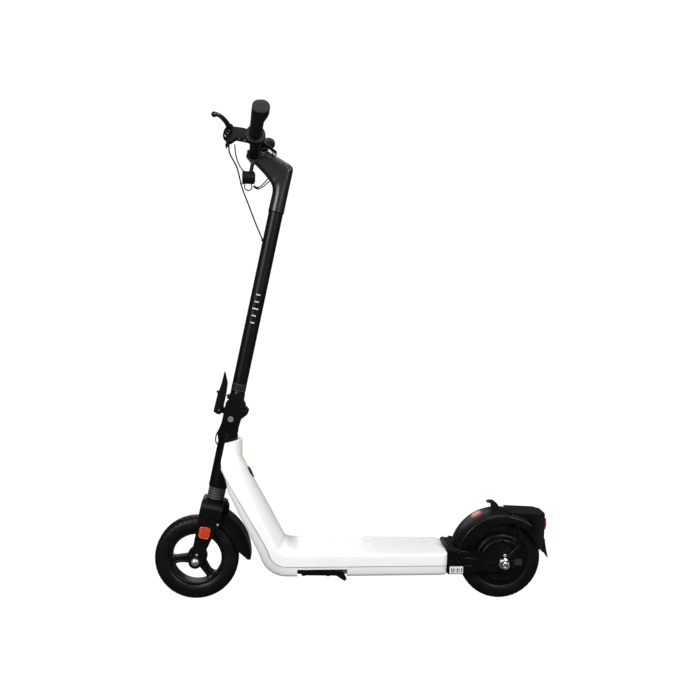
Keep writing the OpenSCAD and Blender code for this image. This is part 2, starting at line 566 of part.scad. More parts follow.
// Stem
module stem_hinge() color("black") steer() difference() {
    union() {
        across(-knuckle_w / 2, knuckle_w / 2) polygon([[-26, pivot_w + 8.7], [-16.8, pivot_w + 8.7],
            [-3, pivot_w + 20.2], [17.5, pivot_w + 21], [18, stem_w0 + 8], [-18, stem_w0 + 8],
            [-18, stem_w0 - 14], [-24, stem_w0 - 21]]);
        across(-11, 11) polygon([[-33, pivot_w + 5.2], [pivot_u, pivot_w], [-20.9, pivot_w + 5.1],
            [-16.8, pivot_w + 8.7], [-16.8, pivot_w + 12], [-28, pivot_w + 12]]);
        y_rod(pivot_u, pivot_w, knuckle_r, -11, 11);
        translate([0, 0, stem_w0]) cylinder(r = stem_r - stem_wall - run_gap, h = 34);
        translate([15, -7, pivot_w + 22]) cube([8, 14, 10]);
    }
    for (s = [-1, 1]) y_rod(pivot_u, pivot_w, knuckle_r + body_gap, s > 0 ? 11 : -40, s > 0 ? 40 : -11);
    y_rod(pivot_u, pivot_w, hinge_pin_r + run_gap, -60, 60);
    translate([0, 0, stem_w0]) ring(stem_r, 60, 40);
    translate([0, 0, stem_w0]) ring(stem_r - stem_wall - run_gap, stem_r + 1, 40);
}
module stem_tube() color("black") steer() translate([0, 0, stem_w0 + 0.1])
    ring(stem_r - stem_wall, stem_r, neck_w - stem_w0 + 38);
module gooseneck() color("dimgrey") steer() difference() {
    union() {
        translate([0, 0, neck_w]) cylinder(r = stem_r + 1.6, h = 50);
        across(-19, 19) translate([0, neck_w]) polygon([[-19, 20], [-19, 111.5], [-2, 118.7],
            [33.8, 131], [clamp_u, 135], [clamp_u + 14, 110], [72, 97], [59.6, 91], [41.6, 77.5],
            [30, 69], [22.3, 60], [18.5, 46], [18.5, 20]]);
        y_rod(clamp_u, clamp_w, 17.5, -21, 21);
    }
    translate([0, 0, neck_w - 1]) cylinder(r = stem_r + run_gap, h = 41);
    y_rod(clamp_u, clamp_w, bar_d / 2 + run_gap, -60, 60);
}
// The bar rises from the clamp to each grip; its bends are points [u, y, w]
bar_in = [clamp_u, 25, clamp_w];
bar_bend = [clamp_u + 2, 70, clamp_w + 24];
bar_out = [clamp_u - 6, bar_w / 2 - 2, clamp_w + 24 + (bar_w / 2 - 72) * 0.297];
bar_dir = bar_out - bar_bend;
bar_run = norm(bar_dir);
grip_s = bar_run - 130;
// Children stand on the bar: x forward, y down and z outwards from the bend
module on_bar(s) translate(bar_bend) rotate([0, acos(bar_dir[2] / bar_run), atan2(bar_dir[1], bar_dir[0])])
    rotate(-90) translate([0, 0, s]) children();
module handlebar() color("black") steer() difference() {
    union() {
        y_rod(clamp_u, clamp_w, bar_d / 2, -25, 25);
        both_sides() {
            rod(bar_in, bar_bend, bar_d / 2);
            on_bar(0) cylinder(r = bar_d / 2, h = bar_run - 4);
            for (p = [bar_in, bar_bend]) translate(p) sphere(r = bar_d / 2 + 0.3);
        }
    }
    both_sides() on_bar(bar_run - 40) cylinder(r = bar_d / 2 - 2, h = 60);
}
module grips() color("dimgrey") steer() both_sides() on_bar(grip_s) difference() {
    union() {
        cylinder(r = grip_d / 2, h = 130);
        hull() {
            translate([-4, 1, 78]) cylinder(r = grip_d / 2 - 4, h = 1, $fn = 32);
            translate([-7, 1, 108]) cylinder(r = grip_d / 2 - 1, h = 18, $fn = 32);
        }
    }
    translate([0, 0, -1]) cylinder(r = bar_d / 2 + run_gap, h = 127.5);
}
lever_u = 60;
lever_s = 28;
module lever_perch() color("dimgrey") steer() on_bar(0) difference() {
    union() {
        translate([0, 0, 6]) cylinder(r = 15.5, h = 18);
        translate([0, 0, 24.2]) cylinder(r = 23.5, h = 5);
        translate([0, 0, 6]) linear_extrude(18) polygon([[6, -12], [30, -14], [55, -11], [63, -6],
            [62, 10], [57, 27], [50, 25], [40, 13], [6, 12]]);
        for (y = [-11, 6]) translate([lever_u, y, lever_s]) rotate([-90, 0, 0]) cylinder(r = 7, h = 5);
        for (y = [-11, 6]) translate([lever_u - 7, y, 20]) cube([14, 5, lever_s - 20]);
        translate([lever_u, -11, lever_s]) rotate([-90, 0, 0]) cylinder(r = 2.5, h = 22);
    }
    translate([0, 0, -1]) cylinder(r = bar_d / 2 + run_gap, h = 60);
    translate([lever_u - 9, -6, 19]) cube([20, 12, 5.5]);
}
module brake_lever() color("silver") steer() on_bar(0) difference() {
    union() {
        translate([lever_u, -5.6, lever_s]) rotate([-90, 0, 0]) cylinder(r = 6, h = 11.2);
        translate([0, 4.5, 0]) rotate([90, 0, 0]) linear_extrude(9) polygon([[lever_u + 5, lever_s + 1],
            [lever_u + 10, 50], [lever_u + 17, 64], [lever_u + 26, 74], [lever_u + 35, 72],
            [lever_u + 38, 81], [lever_u + 30, 88], [lever_u + 22, 86], [lever_u + 9, 70],
            [lever_u + 1, 52], [lever_u - 5, lever_s + 1]]);
        translate([lever_u + 35, 0, 79]) sphere(r = 6.6);
    }
    translate([lever_u, -10, lever_s]) rotate([-90, 0, 0]) cylinder(r = 2.5 + run_gap, h = 22);
}
module throttle_housing() color("black") steer() mirror([0, 1, 0]) on_bar(0) difference() {
    union() {
        translate([0, 0, 6]) cylinder(r = 17, h = 12);
        translate([0, 0, 26.4]) cylinder(r = 19, h = 4);
    }
    translate([0, 0, -1]) cylinder(r = bar_d / 2 + run_gap, h = 60);
}
module throttle_paddle() color("black") steer() mirror([0, 1, 0]) on_bar(0) difference() {
    union() {
        translate([0, 0, 18.4]) cylinder(r = 16, h = 7.6);
        rod([-12, 2, 22], [-38, 3, 22], 3.6);
        translate([-38, 3, 17]) cylinder(r = 6, h = 18);
    }
    translate([0, 0, -1]) cylinder(r = bar_d / 2 + run_gap, h = 60);
}
module display_at() steer() translate([49, 0, neck_w + 144]) rotate([0, -24, 0]) children();
module display_unit() color("black") difference() {
    union() {
        display_at() translate([-24, -24, -3.5]) cube([48, 48, 7]);
        display_at() translate([2, -10, -12]) cube([16, 20, 9]);
    }
    display_at() translate([-16, 0, 0.5]) cylinder(r = 5 + run_gap, h = 20);
    steer() y_rod(clamp_u, clamp_w, 17.6, -60, 60);
}
module power_button() color("grey") display_at() translate([-16, 0, 2]) cylinder(r = 5, h = 2.3);

lamp_at = [81, 0, neck_w + 65.6];
module lamp_frame() steer() translate(lamp_at) rotate([0, rake, 0]) rotate([0, 90, 0]) children();
module headlight() color("black") union() {
    lamp_frame() difference() {
        union() {
            translate([0, 0, -14]) cylinder(r = 15, h = 26);
            translate([0, 0, 8]) cylinder(r = 16, h = 6);
            translate([0, 0, -16]) cylinder(r = 11, h = 3);
        }
        translate([0, 0, 6]) cylinder(r = 13, h = 10);
    }
    steer() translate([74, -7, neck_w + 79]) cube([8, 14, 19.3]);
}
module headlight_lens() color("white") lamp_frame() translate([0, 0, 6.2]) cylinder(r = 12.9, h = 6);

// Cables, as points [u, y, w above the gooseneck's collar] chosen along their real routes
brake_route = [[133, 84, 119], [127, 79, 100], [107, 60, 76], [92, 38, 44], [83, 16, 27], [68, 5, 4],
    [45, 0, -32], [25, 0, -61], [16.5, 0, -73]];
lamp_routes = [[[120, 84, 122], [113, 74, 100], [104, 52, 84], [89.5, 14, 71.5]],
    [[64, 5, 50], [55, 5, 47], [45, 4, 56], [34, 3, 74]],
    [[66, -5, 48], [54, -5, 45], [42, -4, 54], [30, -3, 70]],
    [[86, 8, 52], [83, 9, 38], [73, 8, 35], [68, 7, 44], [72, 6, 54]]];
function raised(pts) = [for (p = pts) [p[0], p[1], p[2] + neck_w]];
module brake_cable() color("black") steer() tube_along(spline(raised(brake_route), 4), 1.3);
module lamp_wires() color("black") steer() for (r = lamp_routes) tube_along(spline(raised(r), 4), 1);

// Latch: a long lever at the front of the fold
module latch_lever() color("black") steer() difference() {
    across(-14, 14) polygon([[41, pivot_w + 85], [29, pivot_w + 58], [27, pivot_w + 34],
        [27, pivot_w - 12], [30, pivot_w - 18], [38, pivot_w - 19], [47.5, pivot_w - 14],
        [46, pivot_w + 31], [51, pivot_w + 33.5], [44.5, pivot_w + 37], [42, pivot_w + 58]]);
    across(-8.4, 8.4) translate([0, pivot_w]) polygon([[0, -40], [latch_u + 8, -40],
        [latch_u + 8, 6], [latch_u, 12], [0, 12]]);
    y_rod(latch_u, latch_w, 2.5 + run_gap, -60, 60);
}

frame_shell();
bottom_cover();
head_tube();
headset_bearings();
battery_pack();
motor_controller();
charge_port();
charge_cap();
blank_labels();
kickstand_bracket();
kickstand();
rear_block();
rear_arms();
rear_axle();
motor_stator();
rear_axle_nuts();
rear_fender();
tail_housing();
tail_lens();
fender_reflector();
mud_flap();
fold_hook();
brake_caliper();
cover_screws();
motor_shell();
motor_covers();
rear_tyre();
motor_magnets();
brake_disc();
steerer_tube();
hinge_base();
hinge_pins();
loop_cable();
fork_crown();
fork_stanchion();
fork_legs();
fork_spring();
fork_bellows();
front_mudguard();
front_axle();
fork_reflectors();
front_tyre();
front_rim();
front_bearings();
stem_hinge();
stem_tube();
gooseneck();
handlebar();
grips();
lever_perch();
throttle_housing();
display_unit();
headlight();
headlight_lens();
brake_cable();
lamp_wires();
latch_lever();
brake_lever();
throttle_paddle();
power_button();
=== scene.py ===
import json
import math
import bmesh
import bpy
import numpy as np
from mathutils import Matrix, Vector


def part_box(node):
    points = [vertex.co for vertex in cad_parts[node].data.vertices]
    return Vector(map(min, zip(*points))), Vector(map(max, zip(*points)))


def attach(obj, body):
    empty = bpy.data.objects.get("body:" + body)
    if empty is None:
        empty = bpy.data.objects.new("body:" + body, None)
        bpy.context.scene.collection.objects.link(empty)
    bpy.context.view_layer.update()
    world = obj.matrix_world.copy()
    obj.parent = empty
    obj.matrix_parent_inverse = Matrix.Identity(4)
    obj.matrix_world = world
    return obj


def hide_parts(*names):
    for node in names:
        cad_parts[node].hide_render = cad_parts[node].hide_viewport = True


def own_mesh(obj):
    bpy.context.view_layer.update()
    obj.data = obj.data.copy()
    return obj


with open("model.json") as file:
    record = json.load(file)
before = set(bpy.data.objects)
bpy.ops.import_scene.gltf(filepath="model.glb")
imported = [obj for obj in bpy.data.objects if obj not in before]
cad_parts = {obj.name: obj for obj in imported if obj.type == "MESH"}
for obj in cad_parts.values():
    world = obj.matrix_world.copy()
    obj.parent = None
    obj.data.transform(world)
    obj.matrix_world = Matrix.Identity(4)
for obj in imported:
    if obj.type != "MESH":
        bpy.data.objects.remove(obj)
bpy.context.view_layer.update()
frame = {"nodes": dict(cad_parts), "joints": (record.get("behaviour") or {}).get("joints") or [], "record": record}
print("frame loaded:", len(frame["nodes"]), "nodes")

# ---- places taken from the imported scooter, in millimetres ----
mm = 0.001
joints = {j["name"]: j for j in frame["joints"]}
steerAxis = np.array(joints["steering"]["axis"])
groundX = joints["steering"]["pos_m"][0] / mm
rake = math.asin(-steerAxis[0])
frontAxle = np.array(joints["front_wheel_spin"]["pos_m"]) / mm
rearAxle = np.array(joints["rear_wheel_spin"]["pos_m"]) / mm
wheelR = frontAxle[2]


def boxOf(node):  # a node's corners in millimetres
    low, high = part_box(node)
    return np.array(low) / mm, np.array(high) / mm


def steer(u, y, w):  # u forward of the steering axis, y left, w up along it
    u, y, w = np.broadcast_arrays(np.asarray(u, float), np.asarray(y, float), np.asarray(w, float))
    c, s = math.cos(rake), math.sin(rake)
    return np.stack([groundX + u * c - w * s, y, u * s + w * c], -1)


def steerBack(point):  # the reverse of steer, as (u, w)
    c, s = math.cos(rake), math.sin(rake)
    x, z = point[0] - groundX, point[2]
    return x * c + z * s, -x * s + z * c


pivotU, pivotW = steerBack(np.array(joints["stem_fold"]["pos_m"]) / mm)
headW1 = pivotW - 99
headW0 = headW1 - 95
crownW1 = headW0 - 31
crownW0 = crownW1 - 42
neckW = pivotW + 485
stemR = 17.6
clampU, clampW = 77, neckW + 118
treadZ = boxOf("frame_shell")[0][2] + 27.2
deckX0 = boxOf("frame_shell")[0][0]
underZ = boxOf("bottom_cover")[0][2]


def linked(name, data):  # a new object in the scene
    obj = bpy.data.objects.new(name, data)
    bpy.context.scene.collection.objects.link(obj)
    return obj


def circle(count):  # angles once round, without the last
    return np.linspace(0, 2 * np.pi, count, endpoint=False)


def bulge(v, power):  # squares off a cosine or sine when the power is under 1
    return np.sign(v) * np.abs(v) ** power


# ---- camera, floor and lights ----
camera = dict(place=(0.1582, 2.0385, 0.7608), yaw=3.84, pitch=4.10, roll=1.24, lens=43.2)
studio = dict(backdrop=1.05, sky=0.09, aim=(0, 0, 0.45), floor=30000, lamps={  # place, size, power
    "key": ((2.0, 2.7, 2.1), 1.6, 104), "side": ((-1.8, 2.7, 2.0), 1.5, 66),
    "top": ((-0.2, 0.6, 3.2), 2.2, 56), "rim": ((-3.0, 0.6, 1.6), 1.2, 12),
    "fill": ((0.6, -3.0, 1.8), 2.0, 16)})


def makeCamera(c):
    data = bpy.data.cameras.new("camera")
    data.lens = c["lens"]
    data.sensor_width = 36
    obj = linked("camera", data)
    yaw, pitch, roll = (math.radians(c[k]) for k in ("yaw", "pitch", "roll"))
    ahead = Vector((-math.sin(yaw) * math.cos(pitch), -math.cos(yaw) * math.cos(pitch), -math.sin(pitch)))
    right = Vector((-math.cos(yaw), math.sin(yaw), 0))
    up = right.cross(ahead)
    right, up = (math.cos(roll) * right + math.sin(roll) * up, -math.sin(roll) * right + math.cos(roll) * up)
    obj.matrix_world = Matrix((right, up, -ahead)).transposed().to_4x4()
    obj.location = c["place"]
    bpy.context.scene.camera = obj


makeCamera(camera)


# ---- shader tools ----
class Wire:  # a socket that takes part in sums; its operators are added below
    def __init__(self, paint, socket):
        self.paint, self.socket = paint, socket

    def maths(self, kind, a, b=None):
        values = {0: a} if b is None else {0: a, 1: b}
        return self.paint.add("Math", dict(operation=kind), values)

    def kind(self, name, other=None):
        return self.maths(name, self, other)

    def clamp(self):
        return self.paint.add("Clamp", {}, {0: self})

    def soft(self, low, high):  # 0 below low, 1 above high
        settings = dict(interpolation_type="SMOOTHSTEP")
        return self.paint.add("MapRange", settings, {0: self, 1: low, 2: high})


sums = dict(add="ADD", sub="SUBTRACT", mul="MULTIPLY", truediv="DIVIDE", gt="GREATER_THAN", lt="LESS_THAN")
for word, kind in sums.items():
    setattr(Wire, f"__{word}__", lambda self, other, kind=kind: self.maths(kind, self, other))
    if word in ("add", "sub", "mul"):
        setattr(Wire, f"__r{word}__", lambda self, other, kind=kind: self.maths(kind, other, self))


class Paint:  # one material and its node tree
    def __init__(self, name, colour, rough, metal=0.0, coat=0.0, spec=0.5):
        self.material = bpy.data.materials.new(name)
        self.material.use_nodes = True
        self.tree = self.material.node_tree
        self.shader = self.tree.nodes["Principled BSDF"]
        for socket, value in (("Base Color", (*colour, 1)), ("Roughness", rough), ("Metallic", metal),
                              ("Coat Weight", coat), ("Specular IOR Level", spec)):
            self.shader.inputs[socket].default_value = value
        self.material.diffuse_color = (*colour, 1)

    def add(self, kind, settings, values, out=0):
        node = self.tree.nodes.new("ShaderNode" + kind)
        for key, value in settings.items():
            if key == "stops":
                ramp = node.color_ramp
                while len(ramp.elements) < len(value):
                    ramp.elements.new(0.5)
                for stop, (at, shade) in zip(ramp.elements, value):
                    stop.position = at
                    stop.color = shade if len(shade) == 4 else (*shade, 1)
            else:
                setattr(node, key, value)
        for key, value in values.items():
            if isinstance(value, Wire):
                self.tree.links.new(value.socket, node.inputs[key])
            else:
                node.inputs[key].default_value = value
        return Wire(self, node.outputs[out])

    def where(self):
        return self.add("TexCoord", {}, {}, "Object")

    def parts(self, vector=None):
        node = self.add("SeparateXYZ", {}, {0: vector or self.where()}).socket.node
        return [Wire(self, s) for s in node.outputs]

    def noise(self, scale, detail=4, rough=0.55, stretch=None):
        place = self.where()
        if stretch:
            place = self.add("VectorMath", dict(operation="MULTIPLY"), {0: place, 1: stretch})
        return self.add("TexNoise", {}, {"Vector": place, "Scale": scale, "Detail": detail,
                                         "Roughness": rough})

    def mix(self, factor, a, b):
        values = {0: factor}
        for key, shade in ((6, a), (7, b)):
            values[key] = shade if isinstance(shade, Wire) else (*shade, 1)
        return self.add("Mix", dict(data_type="RGBA"), values, 2)

    def set(self, socket, value):
        self.tree.links.new(value.socket, self.shader.inputs[socket])
        return self

    def bump(self, height, depth, strength=1.0):
        made = self.add("Bump", {}, {"Height": height, "Distance": depth, "Strength": strength})
        self.set("Normal", made)
        return self


def grime(paint, colour, dirt, amount=0.5, scale=9, rough=(0.3, 0.5)):  # cloudy wear over a plain colour
    cloud = paint.noise(scale, 6, 0.6)
    speck = paint.noise(scale * 22, 2, 0.5)
    mask = cloud.soft(0.42, 0.72) * amount + speck.soft(0.62, 0.75) * (amount * 0.4)
    paint.set("Base Color", paint.mix(mask.clamp(), colour, dirt))
    paint.set("Roughness", mask * (rough[1] - rough[0]) + rough[0])
    return mask


finishes = {}


def makeWhitePaint():
    p = Paint("white paint", (0.83, 0.84, 0.85), 0.3, coat=0.25)
    grime(p, (0.9, 0.905, 0.905), (0.82, 0.825, 0.825), 0.4, 7, (0.26, 0.42))
    x, y, z = p.parts()
    nx, ny, nz = p.parts(p.add("NewGeometry", {}, {}, "Normal"))
    along, across = (x + y) * 190, (x - y) * 190
    grip = along.kind("FRACT").kind("PINGPONG", 0.5) * across.kind("FRACT").kind("PINGPONG", 0.5) * 4
    top = nz.soft(0.9, 0.97) * x.soft(deckX0 * mm + 0.02, deckX0 * mm + 0.03) * (1 - x.soft(0.10, 0.125))
    top = top * (1 - y.kind("ABSOLUTE").soft(0.056, 0.06))
    p.bump(grip.soft(0.25, 0.6) * top + p.noise(900, 2) * 0.08, 0.0005, 0.7)
    return p.material


def makeCoverPlastic():
    p = Paint("cover plastic", (0.5, 0.51, 0.52), 0.5)
    x, y, z = p.parts()
    cloud = p.noise(8, 5)
    # painted shade: forward of x 0.14-0.2 m, under the down tube, the cover blends to a darker copy of the same
    # grey
    shade = x.soft(0.14, 0.2)
    light = p.mix(cloud, (0.8, 0.805, 0.805), (0.74, 0.745, 0.745))
    painted_shade_grey = p.mix(cloud, (0.7, 0.705, 0.705), (0.62, 0.625, 0.625))
    p.set("Base Color", p.mix(shade, light, painted_shade_grey))
    p.set("Roughness", cloud * 0.2 + 0.4)
    p.bump(p.noise(1400, 2), 0.0002, 0.35)
    return p.material


def makeBlack(name, colour, dirt, rough, amount, grain, depth, metal=0.0, coat=0.0, spec=0.22):
    p = Paint(name, colour, rough[0], metal, coat, spec)
    grime(p, colour, dirt, amount, 11, rough)
    p.bump(p.noise(grain, 3), depth, 0.4)
    return p.material


def makeTyreRubber():
    p = Paint("tyre rubber", (0.002, 0.002, 0.0021), 0.6, spec=0.2)
    mask = grime(p, (0.0018, 0.0018, 0.0019), (0.009, 0.0088, 0.0085), 0.55, 14, (0.4, 0.66))
    p.bump(p.noise(700, 3) * 0.6 + mask * 0.4, 0.0004, 0.5)
    return p.material


def makeGripRubber():
    p = Paint("grip rubber", (0.003, 0.0032, 0.0036), 0.6, spec=0.3)
    grime(p, (0.0028, 0.003, 0.0034), (0.007, 0.0074, 0.008), 0.5, 20, (0.5, 0.7))
    x, y, z = p.parts()
    a, b = (y + z) * 420, (y - z) * 420
    knurl = a.kind("FRACT").kind("PINGPONG", 0.5) * b.kind("FRACT").kind("PINGPONG", 0.5) * 4
    p.bump(knurl, 0.0004, 0.5)
    return p.material


def makeBrushed(name, colour, rough, stretch=(1, 40, 1)):
    p = Paint(name, colour, rough, 1.0)
    streak = p.noise(60, 4, 0.6, stretch)
    p.set("Roughness", streak * 0.25 + rough)
    p.bump(streak, 0.0001, 0.4)
    return p.material


def makeReflector(name, colour, rim, glow):
    p = Paint(name, colour, 0.15, coat=0.8)
    x, y, z = p.parts()
    a, b = (x + z) * 330, (x - z) * 330
    hatch = a.kind("FRACT").kind("PINGPONG", 0.5) * 2
    cell = hatch * (b.kind("FRACT").kind("PINGPONG", 0.5) * 2)
    p.set("Base Color", p.mix(hatch.soft(0.1, 0.9), colour, rim))
    # faint emission in the lens colour: painted glow, since no lamp lights these lenses
    p.shader.inputs["Emission Color"].default_value = (*colour, 1)
    p.shader.inputs["Emission Strength"].default_value = glow
    p.bump(cell, 0.0005, 0.6)
    return p.material


def makeLabel(name, ground, ink, cell):  # blank sticker with generic bars
    p = Paint(name, ground, 0.4)
    x, y, z = p.parts()
    bars = ((x * cell).kind("FRACT") > 0.45) * ((x * (cell * 0.37)).kind("FRACT") > 0.3)
    band = (z - underZ * mm) * 1000
    inside = band.soft(4, 5) * (1 - band.soft(14, 15))
    p.set("Base Color", p.mix(bars * inside, ground, ink))
    return p.material


def makeGlass():
    p = Paint("lamp glass", (0.92, 0.94, 0.95), 0.05, coat=0.5)
    p.shader.inputs["Transmission Weight"].default_value = 0.85
    p.shader.inputs["Alpha"].default_value = 0.45
    return p.material


def makeCopper():
    p = Paint("winding copper", (0.55, 0.26, 0.12), 0.35, 1.0)
    p.bump(p.noise(500, 2, 0.5, (1, 1, 12)), 0.0004, 0.6)
    return p.material


finishes["white_paint"] = makeWhitePaint()
finishes["grey_plastic"] = makeCoverPlastic()
blacks = {  # name, colour, dirt, roughness, share of dirt, grain, its depth, then settings
    "black_metal": ("black paint", (0.0016, 0.0016, 0.0018), (0.0045, 0.0045, 0.005), (0.34, 0.5), 0.5,
                    900, 0.0002, dict(spec=0.16)),
    "black_alloy": ("black anodised", (0.0022, 0.0023, 0.0027), (0.006, 0.0062, 0.0072), (0.34, 0.46), 0.4,
                    1500, 0.0001, {}),
    "neck_alloy": ("neck anodised", (0.003, 0.0034, 0.0042), (0.006, 0.0068, 0.0084), (0.3, 0.38), 0.4,
                   1500, 0.0001, dict(spec=0.6)),
    "black_plastic": ("black plastic", (0.002, 0.002, 0.0022), (0.007, 0.007, 0.0073), (0.42, 0.62), 0.5,
                      1200, 0.0003, {}),
    "fender_plastic": ("fender plastic", (0.002, 0.0021, 0.0024), (0.007, 0.0073, 0.008), (0.3, 0.46), 0.6,
                       800, 0.0002, dict(spec=0.14)),
    "black_gloss": ("black gloss", (0.002, 0.002, 0.0023), (0.005, 0.005, 0.0056), (0.08, 0.2), 0.3,
                    300, 0.0001, dict(coat=0.3)),
    "black_rubber": ("black rubber", (0.0025, 0.0026, 0.0027), (0.008, 0.008, 0.008), (0.45, 0.65), 0.5,
                     900, 0.0003, {}),
    "bellows_rubber": ("bellows rubber", (0.05, 0.052, 0.054), (0.09, 0.092, 0.094), (0.2, 0.34), 0.5,
                       600, 0.0002, {}),
    "cap_rubber": ("grip cap rubber", (0.010, 0.0118, 0.0145), (0.016, 0.018, 0.021), (0.5, 0.65), 0.4,
                   900, 0.0002, {}),
    "band_print": ("band print", (0.012, 0.012, 0.013), (0.03, 0.03, 0.032), (0.4, 0.55), 0.5,
                   900, 0.0002, {}),
    "battery_wrap": ("battery wrap", (0.03, 0.06, 0.12), (0.06, 0.09, 0.15), (0.25, 0.4), 0.3,
                     200, 0.0002, {})}
for name, (*values, more) in blacks.items():
    finishes[name] = makeBlack(*values, **more)
finishes.update({
    "tyre": makeTyreRubber(),
    "grip_rubber": makeGripRubber(),
    "steel": makeBrushed("brushed steel", (0.55, 0.56, 0.58), 0.25),
    "alloy": makeBrushed("bare alloy", (0.5, 0.51, 0.53), 0.35),
    "chrome": makeBrushed("chrome", (0.72, 0.73, 0.75), 0.06, (1, 1, 1)),
    # the last number of each lens is the strength of its painted glow
    "red_lens": makeReflector("red lens", (0.2, 0.006, 0.01), (0.35, 0.015, 0.025), 0.05),
    "orange_lens": makeReflector("orange lens", (0.36, 0.02, 0.003), (0.62, 0.07, 0.012), 0.03),
    "amber_rim": makeReflector("amber rim", (0.45, 0.04, 0.008), (0.6, 0.08, 0.02), 0.02),
    "rose_rim": makeReflector("rose rim", (0.2, 0.02, 0.03), (0.34, 0.07, 0.085), 0.02),
    "silver_label": makeLabel("silver sticker", (0.72, 0.73, 0.74), (0.015, 0.015, 0.015), 210),
    "grey_label": makeLabel("grey sticker", (0.02, 0.02, 0.021), (0.09, 0.09, 0.09), 500),
    "label_film": makeLabel("yellow sticker", (0.8, 0.66, 0.06), (0.02, 0.02, 0.02), 240),
    "mark_print": Paint("mark print", (0.62, 0.63, 0.64), 0.5).material,
    "line_print": Paint("line print", (0.1, 0.1, 0.105), 0.5).material,
    "clear_lens": makeGlass(),
    "copper_winding": makeCopper()})
# each node's material slot and body, as model.json lists them
nodeSlot = {s["node"]: s["material_slot"] for s in frame["record"]["subparts"]}
nodeBody = {n: b for b, ns in frame["record"]["behaviour"]["bodies"].items() for n in ns}
print("finishes made:", len(finishes))


# ---- mesh tools; shapes are in millimetres until they reach the mesh ----
def settle(obj, body, finish, *standsFor, sharp=35):  # shade it, paint it and put it on its body
    mesh = obj.data
    mesh.materials.clear()
    mesh.materials.append(finishes[finish])
    mesh.shade_smooth()
    mesh.set_sharp_from_angle(angle=math.radians(sharp))
    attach(obj, body)
    if standsFor:
        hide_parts(*standsFor)
    return obj


def solid(name, points, faces):  # points in mm; faces turned outwards by the sign of the volume
    points = np.asarray(points, float)
    total = 0.0
    for width in (3, 4):
        some = np.array([f for f in faces if len(f) == width])
        for k in range(1, width - 1):
            if len(some):
                a, b, c = (points[some[:, i]] for i in (0, k, k + 1))
                total += np.einsum("ij,ij->i", a, np.cross(b, c)).sum()
    if total < 0:
        faces = [f[::-1] for f in faces]
    mesh = bpy.data.meshes.new(name)
    mesh.from_pydata((points * mm).tolist(), [], faces)
    mesh.validate()
    return linked(name, mesh)


def skin(name, grid, ring=True, ends=True):
    # a grid of points (along, around) with quads between neighbours; ring joins the last column to the
    # first; ends closes the first and last rows with fans, or joins them to each other when it is None
    rows, columns = grid.shape[:2]
    points = grid.reshape(-1, 3)
    r = np.arange(rows - 1 if ends is not None else rows)
    c = np.arange(columns if ring else columns - 1)
    rr, cc = (a.ravel() for a in np.meshgrid(r, c, indexing="ij"))
    nextR, nextC = (rr + 1) % rows, (cc + 1) % columns
    faces = np.stack([rr * columns + cc, rr * columns + nextC, nextR * columns + nextC,
                      nextR * columns + cc], 1)
    faces = faces.tolist()
    if ends:
        hub = len(points)
        points = np.vstack([points, grid[0].mean(0), grid[-1].mean(0)])
        around, last = np.arange(columns), (rows - 1) * columns
        after = (around + 1) % columns
        faces += np.stack([np.full(columns, hub), after, around], 1).tolist()
        faces += np.stack([np.full(columns, hub + 1), last + around, last + after], 1).tolist()
    return solid(name, points, faces)


def smoothCurve(points, steps):  # Catmull-Rom curve through the points
    p = np.asarray(points, float)
    p = np.vstack([2 * p[0] - p[1], p, 2 * p[-1] - p[-2]])
    t = np.linspace(0, len(p) - 3 - 1e-9, steps)
    i = t.astype(int)
    f = (t - i)[:, None]
    a, b, c, d = p[i], p[i + 1], p[i + 2], p[i + 3]
    square, cube = 2 * a - 5 * b + 4 * c - d, 3 * b - a - 3 * c + d
    return 0.5 * (2 * b + (c - a) * f + square * f ** 2 + cube * f ** 3)


def framesAlong(path, side):  # unit side and lift vectors square to the path
    run = np.gradient(path, axis=0)
    run /= np.linalg.norm(run, axis=1)[:, None]
    lift = np.cross(run, np.asarray(side, float))
    lift /= np.linalg.norm(lift, axis=1)[:, None]
    return run, np.cross(lift, run), lift


def pipe(name, path, radius, around=16, side=(0, 1, 0)):  # a circle carried along a path
    path = np.asarray(path, float)
    run, a, b = framesAlong(path, side)
    turn = circle(around)
    r = np.broadcast_to(np.asarray(radius, float), (len(path),))[:, None, None]
    grid = path[:, None] + r * (a[:, None] * np.cos(turn)[:, None] + b[:, None] * np.sin(turn)[:, None])
    return skin(name, grid)


def sideCable(name, points, radius, steps=40, around=10):
    path = smoothCurve(points, steps)
    run = path[-1] - path[0]
    side = np.cross(run, (0.3, 0.5, 0.81))
    return pipe(name, path, radius, around, side / np.linalg.norm(side))


pole = 0.01  # radius where a turned shape closes on its axis


def turned(name, profile, centre, axis, around=64, closed=False):
    # a profile of (distance along, radius) turned round an axis
    axis = np.asarray(axis, float) / np.linalg.norm(axis)
    helper = np.array([0, 0, 1.0]) if abs(axis[2]) < 0.9 else np.array([1.0, 0, 0])
    a = np.cross(axis, helper)
    a /= np.linalg.norm(a)
    b = np.cross(axis, a)
    profile = np.asarray(profile, float)
    turn = circle(around)[None, :, None]
    along, radius = profile[:, 0][:, None, None], profile[:, 1][:, None, None]
    grid = np.asarray(centre, float) + axis * along + radius * (a * np.cos(turn) + b * np.sin(turn))
    return skin(name, grid, True, None if closed else True)


def lathe(name, body, finish, profile, centre, axis, around=64, closed=False, stands=None):
    piece = turned(name, profile, centre, axis, around, closed)
    return settle(piece, body, finish, *([stands] if stands else []))


def rounded(points, radius, steps=4):  # a closed outline with its corners turned into arcs
    p = np.asarray(points, float)
    before, after = np.roll(p, 1, 0) - p, np.roll(p, -1, 0) - p
    lb, la = np.linalg.norm(before, axis=1), np.linalg.norm(after, axis=1)
    cut = np.minimum(np.minimum(lb, la) * 0.45, radius)[:, None]
    start, end = p + before / lb[:, None] * cut, p + after / la[:, None] * cut
    t = np.linspace(0, 1, steps + 1)[None, :, None]
    arc = (1 - t) ** 2 * start[:, None] + 2 * t * (1 - t) * p[:, None] + t ** 2 * end[:, None]
    return arc.reshape(-1, 2)


